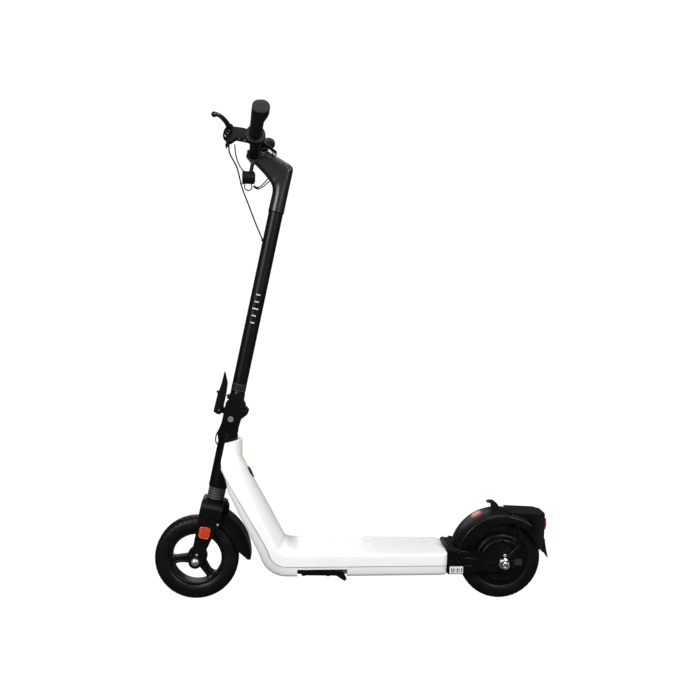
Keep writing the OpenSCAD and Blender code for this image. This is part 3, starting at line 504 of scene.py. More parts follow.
def slab(name, outline, low, high, place, edge=1.0):
    # an outline in a plane given a thickness from low to high, its edges rolled over by edge
    outline = np.asarray(outline, float)
    inward = outline.mean(0) - outline
    inward /= np.linalg.norm(inward, axis=1)[:, None]
    turn = np.linspace(0, np.pi / 2, 4)
    rows = [(edge * (1 - math.sin(a)), low + edge * (1 - math.cos(a))) for a in turn]
    rows += [(edge * (1 - math.cos(a)), high - edge * (1 - math.sin(a))) for a in turn]
    grid = np.stack([place(outline[:, 0] + inward[:, 0] * s, np.full(len(outline), y),
                           outline[:, 1] + inward[:, 1] * s) for s, y in rows])
    return skin(name, grid)


def softened(node, width, segments=2):
    # a merged copy of a CAD node with its edges rounded
    mesh = frame["nodes"][node].data.copy()
    shape = bmesh.new()
    shape.from_mesh(mesh)
    bmesh.ops.remove_doubles(shape, verts=shape.verts, dist=1e-5)
    bmesh.ops.dissolve_limit(shape, angle_limit=math.radians(0.6), verts=shape.verts, edges=shape.edges)
    shape.to_mesh(mesh)
    shape.free()
    obj = linked(node + "_soft", mesh)
    edge = obj.modifiers.new("edge", "BEVEL")
    edge.width = width * mm
    edge.segments = segments
    edge.limit_method = "ANGLE"
    edge.angle_limit = math.radians(28)
    edge.harden_normals = False
    return settle(obj, nodeBody[node], nodeSlot[node], node)


def carve(obj, cutters):  # takes closed shapes out of a piece
    for cutter in cutters:
        step = obj.modifiers.new("cut", "BOOLEAN")
        step.operation = "DIFFERENCE"
        step.solver = "EXACT"
        step.object = cutter
    bpy.context.view_layer.update()
    made = bpy.data.meshes.new_from_object(obj.evaluated_get(bpy.context.evaluated_depsgraph_get()))
    obj.modifiers.clear()
    obj.data = made
    for cutter in cutters:
        bpy.data.objects.remove(cutter)
    return obj


# ---- deck, down tube and neck: one white casting ----
shell = dict(side=27.2, crown=21, half=83, halfRear=73, flat=0.3, bend=58, tilt=math.radians(62.3),
             edge=3.5, step=4)
tubeTop = steer(-2, 0, headW1 - 40)
seamZ = treadZ - shell["side"]
bendX = tubeTop[0] - (tubeTop[2] - seamZ) / math.tan(shell["tilt"])
bendT = shell["bend"] * math.tan(shell["tilt"] / 2)
along = np.array([math.cos(shell["tilt"]), math.sin(shell["tilt"])])
tubeRun = math.hypot(tubeTop[0] - bendX, tubeTop[2] - seamZ)


def shellStations():
    # rows of x, z, tilt, side height, crown height, half width and roundness of the crown
    side, crown, half, tilt, flat = (shell[k] for k in ("side", "crown", "half", "tilt", "flat"))
    rows = [(deckX0 + 16, seamZ, 0, side, flat, shell["halfRear"], 0),
            (bendX - bendT - 34, seamZ, 0, side, flat, half, 0),
            (bendX - bendT - 14, seamZ, 0, side, 7, half, 0)]
    for f in np.linspace(0, 1, 11):
        a = tilt * f
        x, z = bendX - bendT + shell["bend"] * math.sin(a), seamZ + shell["bend"] * (1 - math.cos(a))
        rows.append((x, z, a, side + 4.8 * f, crown, half, 0))
    for f, side, crown, half, ease in ((0.35, 31, 21, 79, 0), (0.7, 28, 22, 69, 0.05), (1, 25, 25, 53, 0.25)):
        x, z = np.array([bendX, seamZ]) + (bendT + f * (tubeRun - bendT)) * along
        rows.append((x, z, shell["tilt"], side, crown, half, ease))
    for w, u, tilt, side, crown, half, ease in ((-30, 3.5, 70.2, 22, 30.6, 40, 0.6),
                                                (-6, 3.5, 74.7, 16, 30, 34, 0.9),
                                                (15, 4, 78, 13, 28, 32, 1)):
        x, y, z = steer(u, 0, headW1 + w)
        rows.append((x, z, math.radians(tilt), side, crown, half, ease))
    return np.array(rows, float)


def evened(rows, step, blur):
    # resamples the stations by distance and smooths each value with a bell curve
    gone = np.concatenate([[0], np.cumsum(np.hypot(np.diff(rows[:, 0]), np.diff(rows[:, 1])))])
    at = np.arange(0, gone[-1] + step, step)
    at[-1] = gone[-1]
    fine = np.stack([np.interp(at, gone, rows[:, k]) for k in range(rows.shape[1])], 1)
    reach = int(3 * blur / step)
    bell = np.exp(-0.5 * (np.arange(-reach, reach + 1) * step / blur) ** 2)
    bell /= bell.sum()
    padded = np.pad(fine, ((reach, reach), (0, 0)), mode="reflect", reflect_type="odd")
    return np.stack([np.convolve(padded[:, k], bell, "valid") for k in range(rows.shape[1])], 1)


def crownLift(t, ease):  # share of the crown's height at t of the half width
    return (1 - ease) * (1 - t ** 2) + ease * np.sqrt(np.maximum(0, 1 - t ** 2))


def bendShare(rows):  # 0 along the deck, 1 from the end of the bend
    return np.clip(rows[:, 2] / shell["tilt"], 0, 1) ** 1.5


def seamLift(rows):
    # how far the seam stands above the stations' own line: rises round the bend, fades up the tube
    up = bendShare(rows)
    bendEnd = seamZ + shell["bend"] * (1 - math.cos(shell["tilt"]))
    f = np.clip((rows[:, 1] - bendEnd) / (tubeTop[2] - 26 - bendEnd), 0, 1)
    return (13 * up * (1 - f ** 1.4))[:, None]


def bothSides(rows, y, n):
    # mirrors half sections of y and height n over the line, and tilts each with its row:
    # x = x0 - n sin(tilt), z = z0 + n cos(tilt)
    y, n = np.concatenate([y, -y[:, -2::-1]], 1), np.concatenate([n, n[:, -2::-1]], 1)
    x = rows[:, 0][:, None] - n * np.sin(rows[:, 2])[:, None]
    z = rows[:, 1][:, None] + n * np.cos(rows[:, 2])[:, None]
    return np.stack([x, y, z], -1)


def shellRings(rows, edge):
    # half a section: up the side, round the edge, over the crown; mirrored into a ring
    foot = seamLift(rows)
    side, crown, half, ease = (rows[:, k][:, None] for k in (3, 4, 5, 6))
    slope = np.arctan(crown * (crownLift(0.94, ease) - crownLift(1.0, ease)) / (0.06 * half))
    pull = edge * np.tan((np.pi / 2 - slope) / 2)
    up = np.array([0, 0.06, 0.3, 0.7, 1])[None]
    sideY, sideN = half + 0 * up, foot + (side - pull - foot) * up
    t1 = (half - pull * np.cos(slope)) / half
    topN1 = side + crown * crownLift(t1, ease)
    turn = np.linspace(0, 1, 7)[None, 1:] * (np.pi / 2 - slope)
    full = np.pi / 2 - slope
    arcY = half - (half - half * t1) * (1 - np.cos(turn)) / (1 - np.cos(full))
    arcN = side - pull + (topN1 - side + pull) * np.sin(turn) / np.sin(full)
    over = np.linspace(1, 0, 16)[None, 1:]
    t = t1 * over
    topY, topN = half * t, side + crown * crownLift(t, ease)
    y = np.concatenate([sideY, arcY, topY], 1)
    n = np.concatenate([sideN, arcN, topN], 1)
    return bothSides(rows, y, n)


def rolledEnds(grid, depth, shrink, first=True):
    # adds rows past the ends that draw in like a quarter circle
    rows = [grid]
    turn = np.linspace(0, np.pi / 2, 6)[1:]
    for which, ahead in ((0, 1), (-1, -2)) if first else ((-1, -2),):
        base, step = grid[which], grid[which] - grid[ahead]
        step = step.mean(0)
        step /= np.linalg.norm(step)
        middle = base.mean(0)
        scale = 1 - shrink * (1 - np.cos(turn))[:, None, None]
        extra = middle + (base - middle) * scale + step * depth * np.sin(turn)[:, None, None]
        rows = [extra[::-1], *rows] if which == 0 else [*rows, extra]
    return np.concatenate(rows)


def rearCorner(grid, reach, tuck):
    # rows behind the first one that turn its corners round in plan: back by reach sin(a), and
    # narrower by tuck (1 - cos(a))
    sweep = np.linspace(0, np.pi / 2, 8)[::-1]
    head = grid[0][None] + np.zeros((8, 1, 3))
    head[:, :, 0] -= (reach * np.sin(sweep))[:, None]
    head[:, :, 1] *= (1 - tuck * (1 - np.cos(sweep)))[:, None]
    return np.concatenate([head[:-1], grid])


def makeShell():
    rows = evened(shellStations(), shell["step"], 6)
    grid = rearCorner(shellRings(rows, shell["edge"]), 16, 16 * 0.9 / shell["halfRear"])
    grid = rolledEnds(grid, 2, 0.06, first=False)
    obj = skin("deck_shell", grid)
    bore = turned("bore", [(headW0 - 40, 23.2), (headW1 + 60, 23.2)], steer(0, 0, 0), steerAxis, 72)
    carve(obj, [bore])
    settle(obj, "frame", "white_paint", "frame_shell", sharp=28)


def makeCover():
    rows = evened(shellStations()[:-3], shell["step"], 6)
    gone = bendShare(rows)
    close = np.clip((tubeTop[2] - 16 - rows[:, 1]) / 30, 0.3, 1)
    depth = ((26 + (10.5 - 26) * gone) * close)[:, None]
    lift = seamLift(rows)
    half = rows[:, 5][:, None]
    turn = np.linspace(0, np.pi / 2, 6)[None]
    radius = np.minimum(9, depth * 0.6)
    y = np.concatenate([half - 5, half - 5, half - 1.6, half - 1.4, half - 2 - radius * (1 - np.cos(turn)),
                        half * 0.5, half * 0], 1)
    rim = radius - depth
    n = np.concatenate([np.maximum(lift - down, rim + 1 - down / 5) for down in (0.2, 2.2, 2.6, 4)] + [
                        rim - radius * np.sin(turn), -depth, -depth], 1)
    grid = rearCorner(bothSides(rows, y, n), 15, 0.2)
    obj = skin("deck_cover", grid)
    low, high = boxOf("kickstand")
    notch = solid("notch", *boxShape((low[0] - 1, 56, underZ - 6), (high[0] + 8.5, 120, underZ + 18.6)))
    cutters = [notch, turned("bore", [(headW0 - 40, 25), (headW1 + 60, 25)], steer(0, 0, 0), steerAxis, 48)]
    carve(obj, cutters)
    settle(obj, "frame", "grey_plastic", "bottom_cover", sharp=28)


def boxShape(low, high):  # the eight corners and six faces of a box
    xs, ys, zs = zip(low, high)
    corners = np.array([[x, y, z] for x in xs for y in ys for z in zs])
    faces = [(0, 1, 3, 2), (4, 6, 7, 5), (0, 4, 5, 1), (2, 3, 7, 6), (0, 2, 6, 4), (1, 5, 7, 3)]
    return corners, faces


makeShell()
makeCover()
print("deck and neck made")

# ---- wheels ----
tyre = dict(width=48, blocks=44, depth=1.7, columns=616)


def makeTyre(name, centre, body, node):
    # tyre section turned round the axle; slanted shoulder grooves and two centre grooves sink into it
    c = tyre["width"] / 2
    sectionY = np.array([4 - c, 1.5 - c, -c, -c, 0.3 - c, 1.8 - c, 4.6 - c, 8.6 - c, 13 - c, -8, -4, 0])
    sectionR = np.array([66, 70, 76, 80, 86, 92.5, 96.9, 99.8, 101.2, 101.5, 101.5, 101.5])
    t = np.linspace(0, 1, len(sectionY))
    fine = np.linspace(0, 1, 38)
    y = np.interp(fine, t, sectionY)
    r = np.interp(fine, t, sectionR)
    bell = np.array([0.25, 0.5, 0.25])
    y[1:-1], r[1:-1] = np.convolve(y, bell, "valid"), np.convolve(r, bell, "valid")
    y, r = np.concatenate([y, -y[-2::-1]]), np.concatenate([r, r[-2::-1]])
    turn = circle(tyre["columns"])
    yy, aa = np.meshgrid(y, turn)
    rr = np.broadcast_to(r, yy.shape).copy()
    lean = aa / (2 * np.pi) * tyre["blocks"] - np.abs(yy) * 0.085 + 0.25 * (yy > 0)
    groove = np.clip((np.abs((lean % 1) - 0.5) - 0.33) * 12, 0, 1)
    shoulder = np.clip((np.abs(yy) - 7) / 2, 0, 1) * np.clip((22.5 - np.abs(yy)) / 1.5, 0, 1)
    ring = np.exp(-(((np.abs(yy) - 6.2) / 1.1) ** 2))
    outer = np.clip((rr - 90) / 3, 0, 1)
    rr -= tyre["depth"] * outer * np.maximum(groove * shoulder, ring)
    rr += 0.35 * np.exp(-(((rr - 78) / 1.0) ** 2)) + 0.3 * np.exp(-(((rr - 88) / 0.8) ** 2))
    grid = np.stack([centre[0] + rr * np.cos(aa), centre[1] + yy, centre[2] + rr * np.sin(aa)], -1)
    settle(skin(name, grid.transpose(1, 0, 2), True, None), body, "tyre", node, sharp=50)


def around(centre, r, angle, y):  # a point at an angle from forwards, towards up
    r, angle, y = np.broadcast_arrays(np.asarray(r, float), np.asarray(angle, float), np.asarray(y, float))
    return np.stack([centre[0] + r * np.cos(angle), centre[1] + y, centre[2] + r * np.sin(angle)], -1)


spoke = dict(angles=(-10, 110, 230), root=9, waist=7.2, tip=16, thick=11)


def makeRim():
    c = frontAxle
    barrel = [(-19, 65.8), (-20.2, 64.5), (-20.4, 62), (-19, 60.4), (-12, 59.4), (0, 59), (12, 59.4),
              (19, 60.4), (20.4, 62), (20.2, 64.5), (19, 65.8)]
    turnedRim = turned("rim_barrel", barrel, c, (0, 1, 0), 128, closed=True)
    settle(turnedRim, "front_wheel", "black_alloy", "front_rim")
    hub = [(-26, 11), (-26, 17), (-25, 19), (-20, 20), (-16, 22.5), (-12, 24), (12, 24), (16, 22.5),
           (20, 20), (25, 19), (26, 17), (26, 11)]
    lathe("rim_hub", "front_wheel", "black_alloy", hub, c, (0, 1, 0), 72, closed=True)
    for i, angle in enumerate(spoke["angles"]):
        # a bar from the hub to the rim, waisted in the middle, with a shallow channel down each face
        f = np.linspace(0, 1, 22)[:, None]
        r = 20 + 42 * f
        waist = spoke["waist"] * 3 * f * (1 - f) + spoke["waist"] * 0.3
        half = spoke["root"] * (1 - f) ** 3 + waist + spoke["tip"] * f ** 5
        thick = spoke["thick"] + 5 * np.clip((f - 0.75) / 0.25, 0, 1) ** 2
        t = circle(40)[None]
        a, b = np.cos(t), np.sin(t)
        across = half * bulge(a, 0.45)
        high = thick * bulge(b, 0.45)
        channel = 2.2 * np.exp(-((across / (half * 0.5)) ** 4)) * np.clip(np.abs(b) * 3, 0, 1)
        high = high - np.sign(b) * channel
        bend = math.radians(angle) + 0.06 * np.sin(np.pi * f)
        x, z = r * np.cos(bend) - across * np.sin(bend), r * np.sin(bend) + across * np.cos(bend)
        grid = np.stack(np.broadcast_arrays(c[0] + x, high + 0 * x, c[2] + z), -1)
        settle(skin(f"rim_spoke_{i}", grid), "front_wheel", "black_alloy")


def makeMotorFaces():
    for side in (-1, 1):
        profile = [(20, 6.3), (38.5, 6.3), (38.5, 12), (37, 14), (36, 16), (36, 40), (35.4, 42),
                   (35.4, 45), (36, 47), (35, 52), (33, 54), (28.5, 55.5), (28, 58), (27.5, 61), (26, 63),
                   (20, 63)]
        profile = [(side * a, b) for a, b in profile]
        obj = turned(f"motor_face_{side + 1}", profile, rearAxle, (0, 1, 0), 96, closed=True)
        settle(obj, "rear_wheel", "black_metal", *(["motor_covers"] if side > 0 else []))
        for k in range(9):
            head = around(rearAxle, 49.5, 2 * math.pi * k / 9 + 0.2, side * 34.6)
            bolt = [(0, 3.4), (side * 2.2, 3.4), (side * 2.8, 2.8), (side * 2.8, 1.6), (side * 1.2, 1.5),
                    (side * 1.2, pole)]
            lathe(f"motor_bolt_{side + 1}_{k}", "rear_wheel", "black_metal", bolt, head, (0, 1, 0), 12)
        for k in range(24):
            a = 2 * math.pi * k / 24
            if side > 0 or k % 2 == 0:
                rib = around(rearAxle, np.linspace(18, 38, 2), a, side * 36)
                settle(pipe(f"motor_rib_{side + 1}_{k}", rib, 0.8, 6), "rear_wheel", "black_metal")


makeTyre("front_tyre_tread", frontAxle, "front_wheel", "front_tyre")
makeTyre("rear_tyre_tread", rearAxle, "rear_wheel", "rear_tyre")
makeRim()
makeMotorFaces()
print("wheels made")


# ---- rear mudguard, tail and arms ----
guard = dict(r=wheelR + 22.5, drop=6, half=46, inner=97, wall=3, corner=9)


def guardR(y):  # radius of the crowned top at a distance from its middle
    return guard["r"] - guard["drop"] * (np.abs(y) / (guard["half"] - guard["corner"])) ** 2


def makeRearGuard():
    # channel section swept round the axle: up one side, over rounded corners, down the other
    g = guard
    turn = np.linspace(0, np.pi / 2, 7)
    over = np.linspace(g["half"] - 0.8 - g["corner"], 0, 10)[1:]
    outY = np.concatenate([[g["half"], g["half"] - 0.4, g["half"] - 0.6],
                           g["half"] - 0.8 - g["corner"] * (1 - np.cos(turn)), over])
    shoulder = g["r"] - g["drop"] - g["corner"]
    outR = np.concatenate([[g["inner"], g["inner"] + 5, shoulder - 3], shoulder + g["corner"] * np.sin(turn),
                           guardR(over)])
    outY, outR = np.concatenate([outY, -outY[-2::-1]]), np.concatenate([outR, outR[-2::-1]])
    scaleY = (g["half"] - g["wall"]) / g["half"]
    y = np.concatenate([outY, outY[::-1] * scaleY])
    r = np.concatenate([outR, outR[::-1] - g["wall"] * np.clip((outR[::-1] - 103) / 7, 0, 1)])
    angle = np.radians(np.linspace(17, 128, 90))[:, None]
    grid = around(rearAxle, r[None], angle, y[None])
    settle(skin("rear_guard", grid), "frame", "fender_plastic", "rear_fender", sharp=32)
    for side in (-1, 1):
        # raised bead along the shoulder of the mudguard
        bead = around(rearAxle, guard["r"] - 11, np.radians(np.linspace(22, 96, 60)), side * 45.2)
        settle(pipe(f"guard_bead_{side + 1}", bead, 1.0, 10), "frame", "fender_plastic")


def makeTail():
    softened("tail_housing", 3.2, segments=3)
    softened("mud_flap", 0.8)
    softened("fold_hook", 1.6, segments=3)
    softened("tail_lens", 1.2, segments=3)
    # oval reflector on the mudguard, with a pale pressed rim
    for name, grow, lift, finish, node in (("guard_reflector", 0, 1.6, "red_lens", "fender_reflector"),
                                           ("guard_reflector_rim", 2.4, 0.9, "rose_rim", None)):
        t = circle(48)
        rows = []
        for ring, rise in ((1, -1.2), (1, lift * 0.5), (0.93, lift * 0.9), (0.8, lift), (0.4, lift + 0.2)):
            y = (19 + grow) * ring * np.cos(t)
            a = math.radians(61) + np.radians(6.2 + grow * 0.45) * ring * np.sin(t)
            rows.append(around(rearAxle, guardR(y) + 0.3 + rise, a, y))
        settle(skin(name, np.stack(rows)), "frame", finish, *([node] if node else []))
    # ridge where the round mudguard meets the square tail
    for side in (-1, 1):
        ridge = around(rearAxle, guardR(38) + 0.3, np.radians(np.linspace(100, 122, 16)), side * 38)
        settle(pipe(f"tail_ridge_{side + 1}", ridge, 1.3, 8), "frame", "fender_plastic")
    low, high = boxOf("tail_lens")
    for i, z in enumerate(np.linspace(low[2] + 8, high[2] - 7, 4)):
        bar = [(low[0] + 1.0, y, z) for y in (-14, -5, 5, 14)]
        settle(pipe(f"lens_rib_{i}", smoothCurve(bar, 8), 0.9, 6, (0, 0, 1)), "frame", "red_lens")


def makeArms():
    block = softened("rear_block", 1.2)
    cutters = []
    for side in (-1, 1):  # the lip over the tread is pointed in plan: its tip stands on the centre line
        x, y, z = deckX0, side * 60, treadZ
        tip = [(x + 6, side * 2), (x + 20, side * 2), (x + 20, y), (x - 9, y)]
        points = [(p, q, h) for h in (z + 5.2, z + 14) for p, q in tip]
        faces = [(0, 1, 2, 3), (7, 6, 5, 4), (0, 4, 5, 1), (1, 5, 6, 2), (2, 6, 7, 3), (3, 7, 4, 0)]
        cutters.append(solid(f"lip_cut_{side + 1}", points, faces))
    carve(block, cutters)
    settle(block, "frame", "black_plastic", "rear_block")
    softened("rear_arms", 1.4)
    softened("brake_caliper", 1.2)
    for side in (-1, 1):
        y = side * 59.3
        for k, (x0, z0, x1, z1) in enumerate(((119, 135, 91, 130.4), (98, 117, 71, 113),
                                              (98, 96.5, 80, 95.6))):
            path = smoothCurve([(rearAxle[0] + x0, y, z0), (rearAxle[0] + (x0 + x1) / 2, y, (z0 + z1) / 2),
                                (rearAxle[0] + x1, y, z1)], 10)
            settle(pipe(f"arm_bead_{side + 1}_{k}", path, 1.7, 8), "frame", "black_metal")
        for k, (x, z) in enumerate(((112, 126), (112, 104), (26, 101), (-1, 121.5))):
            head = [(0, 4.2), (side * 2, 4.2), (side * 3, 3), (side * 3, 1.8), (side * 1.4, 1.6),
                    (side * 1.4, pole)]
            at = (rearAxle[0] + x, side * 58.8, z)
            finish = "steel" if k == 3 else "black_metal"
            lathe(f"arm_bolt_{side + 1}_{k}", "frame", finish, head, at, (0, 1, 0), 16)
        # axle nut: a chrome domed nut with a hollow end, over a flanged washer
        nut = [(58.9, 13), (60.6, 13), (61.3, 11.8), (61.4, 10.6), (72.5, 10.6), (75.5, 9.4), (77.2, 7.4),
               (77.2, 5.4), (70.5, 5.0), (70.5, pole)]
        lathe(f"rear_nut_{side + 1}", "frame", "chrome", [(side * a, b) for a, b in nut], rearAxle,
              (0, 1, 0), 48, stands="rear_axle_nuts" if side > 0 else None)
        for k in range(6):
            a = math.radians(60 * k + 10)
            flat = np.array([[0, side * 62.4, 0], [0, side * 71.5, 0]]) + around(rearAxle, 10.4, a, 0)
            settle(pipe(f"rear_nut_edge_{side + 1}_{k}", flat, 0.9, 6, (1, 0, 0)), "frame", "chrome")


def makeStickers():
    x = rearAxle[0]
    sheet = boxShape((x + 101.5, 59.2, underZ + 2), (x + 134.5, 59.6, underZ + 19.5))
    settle(solid("silver_sticker", *sheet), "frame", "silver_label", "blank_labels")
    sheet = boxShape((x - 49.5, 36.0, 90), (x - 31, 36.9, 106.5))
    settle(solid("grey_sticker", *sheet), "rear_wheel", "grey_label")
    # yellow sticker with cut corners, on the down tube's crest
    outline = rounded([(-9, -7), (9, -7), (9, 7), (-9, 7)], 2)

    def onTube(x, n, y):
        a, s, c = -21 + x, math.sin(shell["tilt"]), math.cos(shell["tilt"])
        return np.stack([tubeTop[0] + a * c - n * s, y, tubeTop[2] + a * s + n * c], -1)
    settle(slab("yellow_sticker", outline, 49.4, 50.3, onTube, 0.1), "frame", "label_film")


makeRearGuard()
makeTail()
makeArms()
makeStickers()
print("rear end made")

# ---- small CAD pieces with rounded edges ----
edges = dict(battery_pack=2, motor_controller=1.5, charge_port=0.4, charge_cap=0.7, kickstand_bracket=1.2,
             kickstand=1.8, hinge_base=2.2, fork_crown=3.2, fork_legs=2.4, front_mudguard=1.1, stem_hinge=1.8,
             latch_lever=1.6, lever_perch=3.5, throttle_housing=1.2, throttle_paddle=1.2, display_unit=1.8,
             headlight=1.0, power_button=0.5, brake_disc=0.3, motor_shell=0.5, head_tube=0.8)
for node, width in edges.items():
    softened(node, width, segments=3 if width > 1.5 else 2)
for node, obj in frame["nodes"].items():
    obj.data.materials.clear()
    obj.data.materials.append(finishes[nodeSlot[node]])
print("edges rounded:", len(edges))


# ---- fork: bellows, spring, reflectors, screws and axle ----
def makeFork():
    ribs = 5
    t = np.linspace(0, 1, ribs * 12 + 1)
    wave = 18.6 + 2.7 * np.abs(np.sin(np.pi * t * ribs)) ** 0.7
    profile = np.concatenate([[(0.2, 15)], np.stack([0.2 + 30.6 * t, wave], 1), [(30.8, 15)]])
    obj = turned("bellows", profile, steer(0, 0, crownW1), steerAxis, 72, closed=True)
    settle(obj, "steering", "bellows_rubber", "fork_bellows", sharp=60)
    tuple(steer(0, 0, headW0) * mm)
    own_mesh(obj)
    turns = 6
    a = np.linspace(0, 2 * np.pi * turns, turns * 40)
    coil = steer(9 * np.cos(a), 9 * np.sin(a), np.linspace(headW0 + 53.8, headW1 + 11.2, len(a)))
    obj = pipe("fork_coil", coil, 1.5, 8, tuple(steerAxis))
    settle(obj, "steering", "steel", "fork_spring")
    tuple(steer(0, 0, headW1 + 11.4) * mm)
    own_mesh(obj)
    for side in (-1, 1):
        plate = rounded([(-5.7, 162.7), (18.7, 162.7), (18.7, 189), (-5.7, 189)], 7, 6)
        face = slab(f"reflector_{side + 1}", plate, side * 48.2, side * 51.0, steer, 0.8)
        settle(face, "fork", "orange_lens", *(["fork_reflectors"] if side > 0 else []))
        t = np.linspace(0, 1, len(plate) + 1)
        ring = np.vstack([plate, plate[:1]])
        path = steer(ring[:, 0], side * 50.2, ring[:, 1])
        rim = pipe(f"reflector_rim_{side + 1}", path, 1.3, 8)
        settle(rim, "fork", "amber_rim")
        for k, (u, w, r, finish) in enumerate(((-26.3 + 6, 200.2, 3.2, "steel"),
                                               (20, 222, 2.6, "black_metal"),
                                               (14.1, 118.5, 3.4, "chrome"))):
            head = [(0, r), (side * 1.6, r), (side * 2.4, r * 0.7), (side * 2.4, pole)]
            lathe(f"fork_screw_{side + 1}_{k}", "fork", finish, head, steer(u, side * 47.8, w), (0, 1, 0), 16)
        nut = [(47.9, 9.5), (49.4, 9.5), (49.6, 8), (54.5, 8), (56, 6.4), (56.5, 4.6), (58, 4.4),
               (58.4, 3.4), (58.4, pole)]
        lathe(f"front_nut_{side + 1}", "fork", "steel", [(side * p, q) for p, q in nut], frontAxle,
              (0, 1, 0), 48)
    rod = [(-47.9, pole), (-47.9, 5), (47.9, 5), (47.9, pole)]
    lathe("front_axle_rod", "fork", "steel", rod, frontAxle, (0, 1, 0), 32, stands="front_axle")


makeFork()
print("fork made")

# ---- folding joint ----
def makeHinge():
    for side in (-1, 1):
        for k, (u, w, r, body, finish) in enumerate(((2.5, pivotW - 22.5, 4.8, "steering", "chrome"),
                                                     (2.5, pivotW + 42, 3.2, "stem", "chrome"),
                                                     (pivotU, pivotW, 3.4, "steering", "black_metal"),
                                                     (35, pivotW - 8, 3.4, "latch", "black_metal"))):
            y = (22.1, 18.2, 22.0, 14.0)[k]
            if k in (0, 2):
                wash = [(0, r + 2.4), (side * 0.9, r + 2.2), (side * 0.9, pole)]
                lathe(f"hinge_washer_{side + 1}_{k}", body, "black_plastic", wash,
                      steer(u, side * (y - 0.3), w), (0, 1, 0), 32)
            head = [(0, r), (side * 2.2, r), (side * 3.0, r * 0.82), (side * 3.0, r * 0.5),
                    (side * 1.4, r * 0.45), (side * 1.4, pole)]
            lathe(f"hinge_bolt_{side + 1}_{k}", body, finish, head, steer(u, side * y, w), (0, 1, 0), 24)
    # link rod of the latch, on the stem's crest
    link = steer([21, 24, 27], [0, 0, 0], [pivotW + 28, pivotW + 29, pivotW + 29])
    settle(pipe("latch_link", link, 1.6, 10), "stem", "steel")
    # grey band with fine lines round the stem above the hinge
    t = circle(72)
    for k, (w0, w1, finish) in enumerate(((pivotW + 50, pivotW + 60.5, "band_print"),
                                          (pivotW + 62, pivotW + 62.8, "line_print"),
                                          (pivotW + 47.4, pivotW + 48.2, "line_print"))):
        rows = [steer(r * np.cos(t), r * np.sin(t), w) for r,
                w in ((17.4, w0), (17.75, w0), (17.75, w1), (17.4, w1))]
        settle(skin(f"stem_band_{k}", np.stack(rows), True, None), "stem", finish)


def stemMark(name, shape, turnAt, w, size):
    # a flat outline (across, up) wrapped round the stem: turn = across / radius
    shape = np.asarray(shape, float) * size
    t = np.linspace(0, 1, 6)[:, None, None]
    left, right = shape[:len(shape) // 2], shape[len(shape) // 2:][::-1]
    grid = left[None] * (1 - t) + right[None] * t
    angle = turnAt + grid[..., 0] / stemR
    out = [steer(r * np.cos(angle), r * np.sin(angle), w + grid[..., 1])
           for r in (stemR - 0.15, stemR + 0.1)]
    ring = np.concatenate([out[1], out[0][:, ::-1]], 1)
    settle(skin(name, ring), "stem", "mark_print")


def makeMarks():
    # five plain bars across the stem, the middle one longer: a print with no lettering
    for k, side in enumerate((math.pi / 2, -math.pi / 2)):
        for i, size in enumerate((5, 5, 7.5, 5, 5)):
            bar = [(-1, -1.3 / size), (-1, 1.3 / size), (1, 1.3 / size), (1, -1.3 / size)]
            stemMark(f"print_bar_{k}_{i}", bar, side, (headW1 + neckW) / 2 + 22 + 17 * i, size)


makeHinge()
makeMarks()
print("hinge made")


# ---- gooseneck, bar, grips and controls ----
neckBack = [(-18.9, -1), (-18.9, 20), (-19, 60), (-19.2, 100), (-17.4, 110), (-10, 116.2), (4, 121),
            (20, 126.5), (36, 131.4), (54, 133.5), (70, 134.6), (81, 133.5)]
neckFront = [(18.9, -1), (18.7, 20), (18.5, 44), (21, 56), (24.5, 62), (29, 68), (33.5, 72), (40, 77),
             (47, 82.5), (57, 89.5), (70, 98), (82, 104)]


def makeNeck():
    # sections ruled between the back and front outlines, round at the sleeve and boxy above
    back, front = smoothCurve(np.array(neckBack), 110), smoothCurve(np.array(neckFront), 110)
    middle, arm = (back + front) / 2, (front - back) / 2
    t = circle(96)[None]
    f = np.clip((np.arange(110) - 14) / 26, 0, 1)[:, None]
    f = f * f * (3 - 2 * f)
    power = 1 - 0.52 * f
    a, b = bulge(np.cos(t), power), bulge(np.sin(t), power)
    # one panel line runs down each flank, a little in from the back
    deep = np.linalg.norm(arm, axis=1)[:, None]
    line = np.exp(-(((a + 1) * deep - 9) / 0.55) ** 2) * (np.abs(b) > 0.6) * f
    wide = (18.9 + 0.4 * f) * b * (1 - 0.05 * line)
    u, w = middle[:, 0][:, None] + a * arm[:, 0][:, None], middle[:, 1][:, None] + a * arm[:, 1][:, None]
    settle(skin("neck_body", steer(u, wide, neckW + w)), "stem", "neck_alloy", "gooseneck", sharp=50)
    ring = [(-21.2, 11.1), (-21.2, 16.6), (-20, 17.6), (-14, 17.6), (-13.5, 17.1), (-13, 17.6),
            (13, 17.6), (13.5, 17.1), (14, 17.6), (20, 17.6), (21.2, 16.6), (21.2, 11.1)]
    lathe("bar_clamp", "stem", "neck_alloy", ring, steer(clampU, 0, clampW), (0, 1, 0), 72, closed=True)
    collar = [(0, 17.6), (0, 18.6), (0.8, 19.1), (3.2, 19.1), (4, 18.6), (4, 17.6)]
    lathe("neck_collar", "stem", "black_alloy", collar, steer(0, 0, neckW - 2), steerAxis, 72, closed=True)
    ahead = steer(1, 0, 0) - steer(0, 0, 0)
    for w in (-6, 6):
        for y in (-16, 16):
            head = [(0, 2.8), (1.6, 2.8), (2.2, 2.3), (2.2, 1.4), (0.8, 1.2), (0.8, pole)]
            at = steer(clampU + 16.2, y, clampW + w)
            lathe(f"clamp_bolt_{w + 6}_{y + 16}", "stem", "black_metal", head, at, ahead, 16)


barBend = np.array([clampU + 2, 70, clampW + 24])
barEnd = np.array([clampU - 6, 228, clampW + 24 + (230 - 72) * 0.297])


